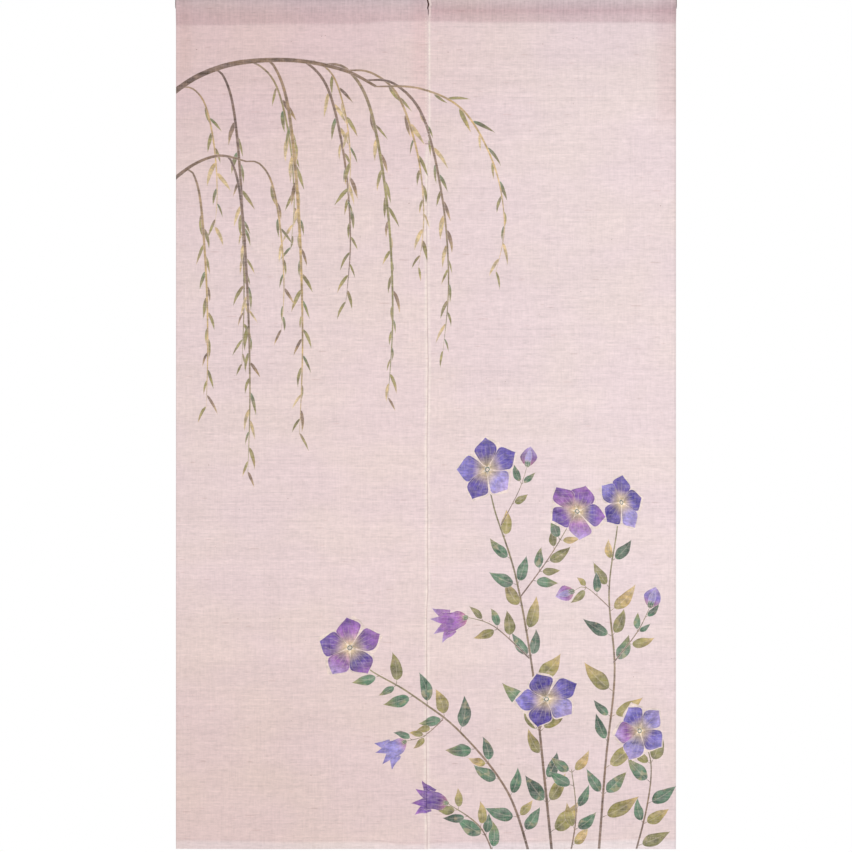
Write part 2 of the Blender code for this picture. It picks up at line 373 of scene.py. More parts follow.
WIDTHS = {  # share of the length, share of the half width
    "leaf": swelling(0.72, 1.34), "willow": swelling(0.62, 1.12),
    "petal": [(0, 0.10), (0.12, 0.33), (0.26, 0.60), (0.40, 0.83), (0.52, 0.97), (0.60, 1.0), (0.68, 0.92),
              (0.76, 0.73), (0.84, 0.47), (0.91, 0.23), (0.96, 0.09), (1, 0.0)],
    "cup": [(0, 0.22), (0.10, 0.52), (0.30, 0.80), (0.60, 0.90), (0.85, 1.0), (1, 1.04)],
    "lip": [(0, 0.95), (0.3, 0.9), (0.6, 0.52), (0.85, 0.18), (1, 0.0)],
    "bud": [(0, 0.25), (0.12, 0.62), (0.35, 1.0), (0.55, 0.98), (0.78, 0.60), (0.92, 0.20), (1, 0.0)],
    "round": [(0, 0.12), (0.08, 0.54), (0.25, 0.87), (0.5, 1.0), (0.75, 0.87), (0.92, 0.54), (1, 0.12)],
    "stem": [(0, 1.0), (0.3, 0.86), (0.7, 0.7), (1, 0.45)],
    "twig": [(0, 0.7), (0.15, 1.0), (0.5, 0.85), (0.85, 0.45), (1, 0.12)],
}


SMOOTH_WIDTHS = {kind: smooth_line(table, 0.02) for kind, table in WIDTHS.items()}
LINE_STEP = 9              # millimetres between the points of a stem, twig or branch


def width_at(kind, share):
    table = SMOOTH_WIDTHS[kind]
    return np.maximum(np.interp(share, table[:, 0], table[:, 1]), 0)


# %% [markdown]
# One function lays every brush mark. It takes the line, the half width, the dye at the root, the middle and
# the tip, and how strong the petal veins, the leaf veins and the dye are.

# %% One brush mark
THINNEST = 0.02            # half the width of the thinnest mark, in millimetres
MIDDLE_DYE = 0.45          # the share of the length where the middle dye is pure
SOFT_EDGE = 0.45           # how much of a mark's rim, in millimetres, the dye frays over
marks = []
brush_luck = random.Random(20)


def brush(line, half_width, kind, dyes, strength=0.92, petal_veins=0.0, leaf_veins=0.0, across=5, squash=None,
          shaky=0.06):
    """Add a mark: a patch of points with their share along and across, dye and brush values."""
    share = shares_along(line)
    along_dir = np.gradient(line, axis=0)
    along_dir /= np.maximum(np.linalg.norm(along_dir, axis=1), 1e-9)[:, None]
    side_dir = np.stack([-along_dir[:, 1], along_dir[:, 0]], axis=1)
    half = np.maximum(width_at(kind, share) * half_width, THINNEST)
    sides = np.linspace(-1, 1, across)
    luck = brush_luck.random()
    hand = 1 + shaky * np.sin(2 * math.pi * (1.6 * share[:, None] + luck + 0.31 * np.sign(sides)[None, :]))
    places = line[:, None, :] + side_dir[:, None, :] * (half[:, None] * sides[None, :] * hand)[:, :, None]
    if squash is not None:
        centre, turned, amount = squash
        way = np.array([math.cos(turned), math.sin(turned)])
        offset = (places - centre) @ way
        places = places - offset[..., None] * way * (1 - amount)
    root, middle, tip = (np.array(DYES[name]) for name in dyes)
    to_middle = np.clip(share / MIDDLE_DYE, 0, 1)[:, None]
    to_tip = np.clip((share - MIDDLE_DYE) / (1 - MIDDLE_DYE), 0, 1)[:, None]
    colour = (root * (1 - to_middle) + middle * to_middle) * (1 - to_tip) + tip * to_tip
    soft = np.clip(SOFT_EDGE / np.maximum(half, 0.3), 0.04, 0.8)
    spread = np.ones((len(line), across))
    values = np.stack([
        share[:, None] * spread, sides[None, :] * spread,
        *(colour[:, i : i + 1] * spread for i in range(3)), strength * spread,
        petal_veins * spread, soft[:, None] * spread, leaf_veins * spread, luck * spread,
    ], axis=-1)
    marks.append({"places": places, "values": values})


def heading(degrees):
    """The direction of an angle, 0 to the right and 90 up, on a picture whose y runs down."""
    return np.array([math.cos(math.radians(degrees)), -math.sin(math.radians(degrees))])


def bent_line(start, degrees, length, bend, steps):
    """A line that starts at an angle and turns by bend degrees by its end."""
    line = [np.array(start, float)]
    for i in range(steps):
        line.append(line[-1] + heading(degrees + bend * (i + 0.5) / steps) * length / steps)
    return np.array(line)


# %% [markdown]
# A bellflower has five broad pointed lobes that join into a shallow star. Seen from the front they are five
# petals round a pale centre with a dark ring, and the whole is squashed a little along one direction, because
# a flower seldom looks straight at you. Under them lies a thin pale reserve, the line of paste that keeps the
# dyes of neighbouring petals apart.

# %% Flowers seen from the front
PETALS = 5
PETAL_TURN = 360 // PETALS
RESERVE_LENGTH, RESERVE_HALF_WIDTH = 1.01, 0.435  # of the pale line round a petal, in flower radii


def star_flower(x, y, radius, turned, squash_way, squash_amount, hues):
    centre = np.array([x, y], float)
    squash = (centre, math.radians(squash_way), squash_amount)
    for i in range(PETALS):
        angle = turned + PETAL_TURN * i + brush_luck.uniform(-4, 4)
        root = centre + heading(angle) * radius * 0.05
        line = bent_line(root, angle, radius * RESERVE_LENGTH, brush_luck.uniform(-9, 9), 12)
        brush(line, radius * RESERVE_HALF_WIDTH, "petal", ("cream", "cream", "cream"), 0.42, squash=squash)
    for i in range(PETALS):
        angle = turned + PETAL_TURN * i + brush_luck.uniform(-3, 3)
        length = radius * brush_luck.uniform(0.86, 0.98)
        root = centre + heading(angle) * radius * 0.08
        line = bent_line(root, angle, length, brush_luck.uniform(-16, 16), 16)
        hue, tip = hues[i % len(hues)]
        half_width = radius * brush_luck.uniform(0.37, 0.41)
        brush(line, half_width, "petal", ("straw", hue, tip), 0.95, 1.0, 0.0, 7, squash)
    for i in range(PETALS):
        line = bent_line(centre, turned + PETAL_TURN * (i + 0.5), radius * 0.20, 0, 4)
        brush(line, radius * 0.035, "round", ("cream", "cream", "straw"), 0.9, across=3, squash=squash)
    spot(centre, radius * 0.085, ("green", "deep_green", "green"), squash)
    spot(centre, radius * 0.050, ("cream", "cream", "cream"), squash)


def spot(centre, radius, dyes, squash=None, strength=0.9):
    line = np.array([centre + heading(0) * radius * share for share in np.linspace(-1, 1, 7)])
    brush(line, radius, "round", dyes, strength, across=5, squash=squash)


# %% [markdown]
# Seen from the side the same flower is a bell: a cup, three lobes that curl out at its rim and a small green
# calyx. A bud is a little balloon with a seam down the middle.

# %% Flowers seen from the side, and buds
LOBES = [(34, 0.50), (-34, 0.50), (12, 0.56), (-14, 0.54)]  # how far each curls out, and its length
WIDEST_LOBE = 34           # degrees, and a lobe that curls so far
LOBE_SPREAD = 0.17         # starts this far from the middle of the rim, in lengths of the flower


def bell_flower(x, y, length, degrees, hue, tip):
    foot = np.array([x, y], float)
    rim = foot + heading(degrees) * length * 0.52
    for turned, reach in LOBES:
        sideways = heading(degrees + 90) * length * turned / WIDEST_LOBE * LOBE_SPREAD
        start = rim + sideways - heading(degrees) * length * 0.10
        line = bent_line(start, degrees + turned * 0.7, length * reach, turned * 0.9, 8)
        brush(line, length * 0.150, "lip", (hue, hue, tip), 0.93, 0.8)
    cup = bent_line(foot, degrees, length * 0.58, 0, 8)
    brush(cup, length * 0.265, "cup", ("rose", hue, hue), 0.94, 0.9, 0.0, 7)
    for turned in (26, -26, 0):
        line = bent_line(foot - heading(degrees) * length * 0.05, degrees + turned, length * 0.20, -turned, 5)
        brush(line, length * 0.035, "leaf", ("moss", "green", "olive"), 0.9, across=3)


def balloon_bud(x, y, length, degrees, hue):
    foot = np.array([x, y], float)
    line = bent_line(foot, degrees, length, 0, 8)
    brush(line, length * 0.40, "bud", ("rose", hue, "pale_lilac"), 0.92, 0.5)
    for turned in (16, -14):
        side = bent_line(foot, degrees + turned, length * 0.9, -turned * 2.2, 7)
        brush(side, length * 0.11, "bud", (hue, "lilac", "lilac"), 0.8, 0.3, across=3)
    sepal_root = foot - heading(degrees) * length * 0.08
    for turned in (30, -30, 0):
        sepal = bent_line(sepal_root, degrees + turned, length * 0.42, -turned, 4)
        brush(sepal, length * 0.07, "leaf", ("moss", "green", "green"), 0.9, across=3)


# %% [markdown]
# A leaf is a bent, pointed patch on a short stalk. Its colour wanders from green to olive and ochre, as a
# brush does when it is dipped again, so each leaf picks from a short list.

# %% Leaves
LEAF_DYES = [
    ("deep_green", "green", "green"), ("green", "green", "olive"), ("moss", "olive", "ochre"),
    ("green", "deep_green", "deep_green"), ("olive", "ochre", "straw"), ("moss", "moss", "olive"),
    ("olive", "olive", "ochre"),
]


def leaf(x, y, degrees, length, half_width, bend, dyes):
    stalk = bent_line((x, y), degrees + bend * 0.3, length * 0.16, -bend * 0.4, 3)
    brush(stalk, 1.0, "stem", ("brown", "brown", dyes[0]), 0.9, across=3)
    blade = bent_line(stalk[-1], degrees, length, bend, 20)
    brush(blade, half_width, "leaf", dyes, 0.93, 0.0, 0.9, 7)


def place_on(line, share):
    """The point of a line at a share of its length, and the angle at which the line runs on from there."""
    k = min(len(line) - 2, int(np.searchsorted(shares_along(line), share)))
    way = line[k + 1] - line[k]
    return line[k], math.degrees(math.atan2(-way[1], way[0]))


def leafy_stem(points, root_width, leaves, first_share, last_share, leaf_length):
    """A stem with leaves that stand off it by turns, left and right, every third time as a pair."""
    line = smooth_line(points, LINE_STEP)
    for i in range(leaves):
        at = first_share + (last_share - first_share) * i / max(1, leaves - 1)
        (x, y), angle = place_on(line, at)
        side = 1 if i % 2 else -1
        for pair in range(2 if i % 3 == 1 else 1):
            way_out = side * (1 - 2 * pair)
            off = way_out * brush_luck.uniform(32, 66)
            size = leaf_length * brush_luck.uniform(0.74, 1.12) * (1 - 0.22 * pair) * (1.1 - 0.2 * at)
            half_width = size * brush_luck.uniform(0.180, 0.235)
            bend = -way_out * brush_luck.uniform(8, 38)
            leaf(x, y, angle + off, size, half_width, bend, LEAF_DYES[brush_luck.randrange(len(LEAF_DYES))])
    brush(line, root_width / 2, "stem", ("dark_brown", "brown", "moss"), 0.9, across=3)


# %% [markdown]
# The bellflowers stand on several stems. Each row below is a stem's course and its leaves, and the flowers
# follow, each where a stem or a side shoot ends.

# %% Bellflowers from the lower right
STEMS = [  # course, width at the root, leaves, share of the stem where they start and end, leaf length
    ([(664, 1530), (648, 1370), (628, 1190), (598, 1020), (560, 900), (548, 834)], 5.4, 13, 0.08, 0.82, 60),
    ([(628, 1530), (584, 1400), (500, 1294), (412, 1226), (340, 1184), (306, 1148)], 5.0, 12, 0.10, 0.86, 56),
    ([(742, 1530), (756, 1350), (772, 1190), (762, 1050), (776, 940), (780, 896)], 5.0, 11, 0.12, 0.84, 58),
    ([(802, 1530), (828, 1430), (836, 1350), (818, 1294)], 4.0, 5, 0.12, 0.74, 52),
    ([(566, 1530), (536, 1462), (478, 1420)], 3.8, 5, 0.16, 0.84, 48),
    ([(690, 1530), (704, 1440), (696, 1360)], 3.4, 5, 0.16, 0.98, 50),
    ([(622, 1164), (560, 1108), (512, 1092)], 3.0, 3, 0.30, 0.75, 42),
    ([(606, 1056), (656, 988), (704, 908)], 3.0, 5, 0.18, 0.66, 44),
    ([(770, 1172), (812, 1118), (834, 1074)], 2.8, 3, 0.30, 0.76, 40),
    ([(764, 1076), (722, 1040), (700, 1046)], 2.4, 2, 0.30, 0.64, 34),
    ([(470, 1272), (440, 1300), (404, 1310)], 2.4, 3, 0.26, 0.76, 36),
    ([(572, 930), (604, 868), (618, 826)], 2.2, 2, 0.34, 0.66, 36),
    ([(640, 1290), (650, 1262), (652, 1240)], 2.4, 1, 0.40, 0.50, 34),
]
for stem in STEMS:
    leafy_stem(*stem)

COOL = [("deep_violet", "blue_violet"), ("blue_violet", "lilac"), ("deep_violet", "deep_violet"),
        ("lilac", "pale_lilac"), ("blue_violet", "deep_violet")]
WARM = [("violet", "orchid"), ("orchid", "violet"), ("violet", "deep_violet"), ("orchid", "pale_lilac"),
        ("deep_violet", "orchid")]
bell_flower(512, 1092, 68, 196, "orchid", "pale_lilac")
bell_flower(404, 1310, 60, 214, "lilac", "blue_violet")
bell_flower(478, 1420, 66, 168, "violet", "orchid")
balloon_bud(834, 1074, 38, 74, "blue_violet")
balloon_bud(700, 1046, 34, 196, "orchid")
balloon_bud(618, 826, 36, 80, "violet")
star_flower(548, 832, 60, 98, 30, 0.86, COOL)
star_flower(706, 906, 56, 62, 120, 0.82, WARM)
star_flower(306, 1146, 60, 20, 60, 0.88, WARM)
star_flower(784, 890, 52, 84, 160, 0.74, COOL)
star_flower(816, 1292, 52, 40, 20, 0.90, [COOL[3], COOL[1], WARM[3]])
star_flower(652, 1236, 58, 110, 75, 0.84, COOL)
print("bellflower marks", len(marks))

# %% [markdown]
# The willow comes in at the upper left as a bare branch. Its twigs leave the branch level, turn over and
# hang, which gives the long calm arcs of the picture, and narrow leaves point down them. A twig is drawn over
# its leaves, so that their roots are hidden.

# %% Willow from the upper left
BRANCHES = [([(-14, 176), (40, 140), (112, 116), (206, 112), (296, 130), (352, 158)], 10.5),
            ([(-14, 330), (30, 296), (78, 280), (124, 290)], 7.0)]
TWIGS = [  # branch, share along it, reach, drop, width, leaves, dyes
    (0, 0.10, 64, 250, 3.6, 10, ("brown", "ochre", "straw")),
    (0, 0.24, 58, 520, 5.2, 19, ("dark_brown", "brown", "olive")),
    (0, 0.38, 96, 330, 4.0, 13, ("brown", "olive", "olive")),
    (0, 0.47, 78, 660, 6.0, 24, ("brown", "ochre", "ochre")),
    (0, 0.58, 118, 430, 5.0, 17, ("dark_brown", "brown", "brown")),
    (0, 0.66, 84, 250, 3.6, 10, ("brown", "ochre", "straw")),
    (0, 0.76, 124, 590, 5.6, 22, ("brown", "olive", "moss")),
    (0, 0.86, 140, 350, 4.4, 14, ("brown", "ochre", "straw")),
    (0, 0.94, 146, 480, 5.0, 19, ("dark_brown", "brown", "olive")),
    (0, 1.00, 226, 330, 4.2, 14, ("brown", "ochre", "ochre")),
    (1, 0.30, 40, 420, 4.6, 15, ("brown", "ochre", "ochre")),
    (1, 0.70, 52, 560, 5.2, 20, ("dark_brown", "brown", "olive")),
    (1, 1.00, 66, 300, 4.0, 11, ("brown", "ochre", "straw")),
]
TWIG_ARC = [(0.34, 0.012), (0.68, 0.13), (0.92, 0.42), (1.0, 0.74), (0.93, 1.0)]  # shares of reach and drop
WILLOW_DYES = [("olive", "olive", "ochre"), ("ochre", "straw", "straw"), ("brown", "olive", "olive"),
               ("brown", "brown", "ochre"), ("moss", "olive", "olive"), ("green", "moss", "olive")]


def willow_twig(x, y, reach, drop, width, leaves, dyes):
    twig = smooth_line([(x, y)] + [(x + reach * a, y + drop * b) for a, b in TWIG_ARC], LINE_STEP)
    for i in range(leaves):
        at = 0.20 + 0.79 * i / max(1, leaves - 1)
        root, angle = place_on(twig, at)
        side = 1 if i % 2 else -1
        size = brush_luck.uniform(30, 50) * (1.12 - 0.30 * at)
        off = side * brush_luck.uniform(14, 40)
        blade = bent_line(root, angle + off, size, -side * brush_luck.uniform(6, 34), 10)
        brush(blade, size * brush_luck.uniform(0.064, 0.090), "willow",
              WILLOW_DYES[brush_luck.randrange(len(WILLOW_DYES))], 0.90, 0.0, 0.35, 3)
    brush(twig, width / 2, "twig", dyes, 0.88, across=3, shaky=0.10)


for course, root_width in BRANCHES:
    branch = smooth_line(course, LINE_STEP)
    for k, share, *twig_sizes in TWIGS:
        if BRANCHES[k][0] is course:
            willow_twig(*branch[int(share * (len(branch) - 1))], *twig_sizes)
    brush(branch, root_width / 2, "stem", ("dark_brown", "brown", "brown"), 0.92, across=5, shaky=0.12)
print("all marks", len(marks))

# %% [markdown]
# ## Cutting the cloth along the marks
#
# The flat panel gets a grid that is fine where the cloth turns and 8 mm wide elsewhere. The outlines of the
# marks are laid over it, and a constrained Delaunay triangulation joins both into one sheet in which every
# outline is a row of edges. It also says in which marks each triangle lies, and the last one painted wins.

# %% The grid of a flat panel
MILLIMETRES = 1000.0
EDGE_COLUMNS = [0.0, 0.0008, 0.0018, 0.0032, 0.0050, 0.0080]  # closer columns, beside both selvedges


def column_places(width):
    inner = width - 2 * EDGE_COLUMNS[-1]
    count = round(inner / GRID_STEP)
    middle = [EDGE_COLUMNS[-1] + inner * i / count for i in range(1, count)]
    return EDGE_COLUMNS + middle + [width - c for c in reversed(EDGE_COLUMNS)]


def flat_marks(panel):
    """The marks that touch a panel, in its own flat millimetres, across and along."""
    found = []
    for mark in marks:
        x = CLOTH_LEFT + mark["places"][..., 0] / MILLIMETRES
        z = TOP_Z - mark["places"][..., 1] / MILLIMETRES
        across = (x - panel["left"]) * MILLIMETRES
        along = (panel["stitch_along"] + panel["stitch_z"] - z) * MILLIMETRES
        if across.max() > 0 and across.min() < panel["width"] * MILLIMETRES:
            found.append({"flat": np.stack([across, along], axis=-1), "values": mark["values"]})
    return found


def outline_of(flat):
    """The rim of a patch, once round, as a list of points."""
    rows, columns = flat.shape[:2]
    rim = [flat[i, 0] for i in range(rows)] + [flat[-1, j] for j in range(1, columns)]
    rim += [flat[i, -1] for i in range(rows - 2, -1, -1)] + [flat[0, j] for j in range(columns - 2, 0, -1)]
    return rim


# %% [markdown]
# Where the cloth turns, the grid's rows lie a fraction of a millimetre apart. A straight piece of outline
# would cut the corner there, so it gets a point wherever it crosses one of those rows.

# %% Bend the outlines with the cloth
CLOSE_ROWS = 0.0015        # metres between rows that count as close
AT_A_ROW = 0.02            # millimetres, within which an outline's point already lies at a row


def close_rows(panel):
    rows = panel["along"]
    tight = np.minimum(np.diff(rows, prepend=-1), np.diff(rows, append=rows[-1] + 1)) < CLOSE_ROWS
    return rows[tight & (rows > panel["stitch_along"])] * MILLIMETRES


def bend_outline(rim, rows):
    bent = []
    for start, end in zip(rim, rim[1:] + rim[:1]):
        bent.append(start)
        low, high = sorted((start[1], end[1]))
        crossed = [row for row in rows if low + AT_A_ROW < row < high - AT_A_ROW]
        if end[1] < start[1]:
            crossed.reverse()
        for row in crossed:
            share = (row - start[1]) / (end[1] - start[1])
            bent.append(start + (end - start) * share)
    return bent


# %% Join the grid and the outlines into one sheet of triangles
INNER_KEEP_OFF = 0.25      # millimetres that a mark's inner points keep from every outline,
CLOSE_ROW_KEEP_OFF = 0.1   # that the grid's points keep on a close row,
GRID_KEEP_OFF = 1.8        # and elsewhere
SELVEDGE_BAND = 1.0        # millimetres from the sheet's edge, where every grid point is kept
WELD = 1e-4


def cut_along_marks(panel, found):
    """Flat places of the sheet's points, its triangles, and the mark that each triangle lies in, or -1."""
    width, length = panel["width"] * MILLIMETRES, panel["along"][-1] * MILLIMETRES
    points, faces = [], []
    rows = close_rows(panel)
    for mark in found:
        rim = bend_outline(outline_of(mark["flat"]), rows)
        faces.append(list(range(len(points), len(points) + len(rim))))
        points += [Vector(p) for p in rim]
    rim_count = len(points)
    near = KDTree(rim_count)
    for i in range(rim_count):
        near.insert((points[i][0], points[i][1], 0), i)
    near.balance()
    for mark in found:
        inner = mark["flat"][1:-1, 1:-1].reshape(-1, 2)
        points += [Vector(p) for p in inner if near.find((p[0], p[1], 0))[2] > INNER_KEEP_OFF]
    for along in panel["along"] * MILLIMETRES:
        keep_off = CLOSE_ROW_KEEP_OFF if along in rows else GRID_KEEP_OFF
        for across in np.array(column_places(panel["width"])) * MILLIMETRES:
            from_rim = min(across, width - across, along, length - along)
            if from_rim < SELVEDGE_BAND or near.find((across, along, 0))[2] > keep_off:
                points.append(Vector((across, along)))
    first = len(points)
    points += [Vector(p) for p in ((0, 0), (width, 0), (width, length), (0, length))]
    edges = [(first, first + 1), (first + 1, first + 2), (first + 2, first + 3), (first + 3, first)]
    cut = delaunay_2d_cdt(points, edges, faces, 0, WELD, True)
    flat = np.array([tuple(p) for p in cut[0]])
    triangles = np.array(cut[2])
    lies_in = np.array([max(owners) if owners else -1 for owners in cut[5]])
    middle = flat[triangles].mean(axis=1)
    inside = (middle > 0).all(axis=1) & (middle[:, 0] < width) & (middle[:, 1] < length)
    triangles, lies_in = triangles[inside], lies_in[inside]
    used, renamed = np.unique(triangles, return_inverse=True)
    return flat[used], renamed.reshape(-1, 3), lies_in


# %% [markdown]
# Every corner of a painted triangle now needs the values of its mark at that place. The patch is split into
# triangles, the one that holds the corner is found, and the values are mixed by how near its three points
# are.

# %% Read a mark's values at any place in it
def cross(a, b):
    """Twice the area of the triangle that two directions span."""
    return a[..., 0] * b[..., 1] - b[..., 0] * a[..., 1]


def read_mark(mark, places):
    flat, values = mark["flat"], mark["values"]
    rows, columns = flat.shape[:2]
    index = np.arange(rows * columns).reshape(rows, columns)
    a, b, c, d = index[:-1, :-1], index[1:, :-1], index[1:, 1:], index[:-1, 1:]
    cells = np.concatenate([np.stack(three, -1).reshape(-1, 3) for three in ([a, b, c], [a, c, d])])
    points, point_values = flat.reshape(-1, 2), values.reshape(-1, values.shape[-1])
    origin = points[cells[:, 0]]
    first, second = points[cells[:, 1]] - origin, points[cells[:, 2]] - origin
    area = cross(first, second)
    area = np.where(np.abs(area) < 1e-9, 1e-9, area)
    wanted = places[:, None, :] - origin
    w1, w2 = cross(wanted, second) / area, cross(first, wanted) / area
    weights = np.stack([1 - w1 - w2, w1, w2], axis=-1)
    best = np.argmax(weights.min(axis=-1), axis=1)
    chosen = np.clip(weights[np.arange(len(places)), best], 0, 1)
    chosen /= chosen.sum(axis=1, keepdims=True)
    return (point_values[cells[best]] * chosen[..., None]).sum(axis=1)


# %% [markdown]
# ## Making the sheets
#
# The flat sheet becomes a mesh that hangs, with two maps and three colour layers: "cloth" is the place on the
# flat cloth in metres, which the weave follows, and "stroke" is the place within a brush mark. "dye" is the
# dye and its strength, "brush" its veins and edge, and "zones" says where the cloth is selvedge, how grey it
# is painted over the rod, how deep the painted shade of the sleeve is, and where it is hemmed. Solidify then
# gives it its thickness, a little more at the selvedges.

# %% Which places are selvedge, sleeve, hem or doubled cloth
SELVEDGES = {  # from the slit edge, where the pale stripe comes in and goes out; how pale, sewn and free
    "left": ((0.0004, 0.0010), (0.0034, 0.0062), 0.15, 0.95),
    "right": ((0.0003, 0.0015), (0.0034, 0.0056), 1.0, 0.65),
}
# The sleeve's painted shade fades out round its turned edge, and the hem's paler tone above the lower edge.
SLEEVE_SHADE_FADE = 0.0034  # the tone of the sleeve ends this far to either side of its turned edge
HEM_FADE = (0.0080, 0.0170)  # and the hem's between these heights above the lower edge


def zones_of(panel, across, along):
    slit = panel["width"] - across if panel["slit_on_right"] else across
    starts, ends, sewn, free = SELVEDGES["left" if panel["slit_on_right"] else "right"]
    z = np.interp(along, panel["along"], panel["profile"][:, 1])
    strength = free + (sewn - free) * ease(z, SEAM_FOOT_Z - 0.012, SEAM_FOOT_Z)
    selvedge = strength * ease(slit, *starts) * (1 - ease(slit, *ends))
    # Painted shade of the sleeve: how deep it is, and the grey of the dark rod seen through the sheer cloth,
    # painted in.
    heights, depths, greys = np.array(panel["painted_sleeve_shade"][::-1]).T
    sleeve, on_rod = np.interp(z, heights, depths), np.interp(z, heights, greys)
    sleeve_shade_ends = panel["stitch_along"] + panel["sleeve_shade_below"] - line_rise(panel, "sleeve_line", across)
    within_sleeve_shade = 1 - ease(along, sleeve_shade_ends - SLEEVE_SHADE_FADE, sleeve_shade_ends + SLEEVE_SHADE_FADE)
    sleeve, on_rod = sleeve * within_sleeve_shade, on_rod * within_sleeve_shade
    above_hem = z - BOTTOM_Z - line_rise(panel, "hem_line", across)
    hem = 1 - ease(above_hem, *HEM_FADE)
    hem = np.where(along > panel["turn_along"], 1.0, hem)
    return np.stack([selvedge, on_rod, sleeve, hem], axis=-1)


# %% The sheet of one panel
BRUSH_VALUES = 10          # share, side, three of colour, strength, petal veins, softness, leaf veins, luck
SHOWS_THROUGH = 0.86       # the share of the dye that reaches the wrong side of the cloth
SELVEDGE_THINS = (0.0006, 0.002)  # from a panel's edge, between which the cloth thins to its even thickness


def sew_panel(name, panel):
    found = flat_marks(panel)
    flat, triangles, lies_in = cut_along_marks(panel, found)
    corners = flat[triangles]
    values = np.zeros((len(triangles), 3, BRUSH_VALUES))
    for k in np.unique(lies_in[lies_in >= 0]):
        mine = np.flatnonzero(lies_in == k)
        values[mine] = read_mark(found[k], corners[mine].reshape(-1, 2)).reshape(-1, 3, BRUSH_VALUES)
    across, along = flat[:, 0] / MILLIMETRES, flat[:, 1] / MILLIMETRES
    mesh = bpy.data.meshes.new(name)
    mesh.from_pydata(hang(panel, across, along).tolist(), [], triangles[:, ::-1].tolist())
    order = triangles[:, ::-1].reshape(-1)
    values = values[:, ::-1].reshape(-1, BRUSH_VALUES)
    fill_layers(mesh, flat[order] / MILLIMETRES, values, zones_of(panel, across, along)[order])
    cloth = bpy.data.objects.new(name, mesh)
    bpy.context.scene.collection.objects.link(cloth)
    thicken(cloth, panel, across)
    pale_reverse(cloth, len(triangles))
    return cloth


def fill_layers(mesh, places, values, zones):
    mesh.uv_layers.new(name="cloth").data.foreach_set("uv", places.ravel())
    mesh.uv_layers.new(name="stroke").data.foreach_set("uv", values[:, 0:2].ravel())
    for name, colours in (("dye", values[:, 2:6]), ("brush", values[:, 6:10]), ("zones", zones)):
        layer = mesh.color_attributes.new(name=name, type="FLOAT_COLOR", domain="CORNER")
        layer.data.foreach_set("color", np.ascontiguousarray(colours, dtype=np.float32).ravel())


def only(piece):
    """Select one piece alone and make it the active one."""
    bpy.ops.object.select_all(action="DESELECT")
    piece.select_set(True)
    bpy.context.view_layer.objects.active = piece


def thicken(cloth, panel, across):
    from_rim = np.minimum(across, panel["width"] - across)
    thin = CLOTH_THICKNESS / SELVEDGE_THICKNESS
    weights = thin + (1 - thin) * (1 - ease(from_rim, *SELVEDGE_THINS))
    group = cloth.vertex_groups.new(name="how thick")
    for weight in np.unique(weights.round(3)):
        group.add([int(i) for i in np.flatnonzero(weights.round(3) == weight)], float(weight), "REPLACE")
    solid = cloth.modifiers.new("cloth thickness", "SOLIDIFY")
    solid.thickness = SELVEDGE_THICKNESS
    solid.offset = 0.0
    solid.vertex_group = group.name
    only(cloth)
    bpy.ops.object.modifier_apply(modifier=solid.name)
    cloth.vertex_groups.clear()
    bpy.ops.object.shade_smooth_by_angle(angle=math.radians(50))


def pale_reverse(cloth, front_faces):
    """The dye reaches the wrong side of the cloth, a little weaker."""
    layer = cloth.data.color_attributes["dye"]
    colours = np.zeros(len(layer.data) * 4, np.float32)
    layer.data.foreach_get("color", colours)
    colours = colours.reshape(-1, 4)
    colours[front_faces * 3 : front_faces * 6, 3] *= SHOWS_THROUGH
    layer.data.foreach_set("color", colours.ravel())


sheets = {}
for side, panel in PANELS.items():
    sheets[side] = sew_panel(f"{side}_panel_cloth", panel)
    print(sheets[side].name, len(sheets[side].data.polygons), "faces")

# %% [markdown]
# ## Finishes
#
# A finish is a small network of shader nodes. The helpers below keep it readable: each adds one node, takes
# numbers or other nodes' outputs, and gives back its own output.

# %% Helpers for shader nodes
def new_finish(name):
    finish = bpy.data.materials.new(name)
    finish.use_nodes = True
    tree = finish.node_tree
    tree.nodes.clear()
    surface = tree.nodes.new("ShaderNodeBsdfPrincipled")
    output = tree.nodes.new("ShaderNodeOutputMaterial")
    tree.links.new(surface.outputs["BSDF"], output.inputs["Surface"])
    return finish, tree, surface


def feed(tree, socket, value):
    if isinstance(value, bpy.types.NodeSocket):
        tree.links.new(value, socket)
    else:
        socket.default_value = value


def set_up(surface, **values):
    """Set plain numbers on a shader's own sockets, named with _ for a space."""
    for name, value in values.items():
        surface.inputs[name.replace("_", " ")].default_value = value


def maths(tree, operation, *values):
    node = tree.nodes.new("ShaderNodeMath")
    node.operation = operation
    for socket, value in zip(node.inputs, values):
        feed(tree, socket, value)
    return node.outputs[0]


def times(tree, first, second):
    return maths(tree, "MULTIPLY", first, second)


def swing(tree, noise, amount, base):
    """The base, moved up and down by a noise about its middle."""
    return maths(tree, "MULTIPLY_ADD", maths(tree, "SUBTRACT", noise, 0.5), amount, base)


def distance(tree, first, second):
    """How far a place lies from the middle of two directions."""
    return maths(tree, "SQRT", maths(tree, "ADD", times(tree, first, first), times(tree, second, second)))


def humps(tree, value):
    """A row of humps, one for every pi of the value."""
    return maths(tree, "ABSOLUTE", maths(tree, "SINE", value))


def fade(tree, value, low, high, start=0.0, end=1.0):
    """From start to end as the value goes from low to high, eased at both ends."""
    node = tree.nodes.new("ShaderNodeMapRange")
    node.interpolation_type = "SMOOTHSTEP"
    names = ("Value", "From Min", "From Max", "To Min", "To Max")
    for name, given in zip(names, (value, low, high, start, end)):
        feed(tree, node.inputs[name], given)
    return node.outputs["Result"]


def tint(tree, share, first, second, how="MIX"):
    """From the first colour towards the second, as far as the share says."""
    node = tree.nodes.new("ShaderNodeMix")
    node.data_type = "RGBA"
    node.blend_type = how
    for index, value in ((0, share), (6, first), (7, second)):
        feed(tree, node.inputs[index], value)
    return node.outputs[2]


def stain_and_shade(tree, share, colour, by):
    """A colour multiplied by three numbers, as far as the share says: real flecks and dye, and painted shade.
    """
    return tint(tree, share, colour, (*by, 1), "MULTIPLY")


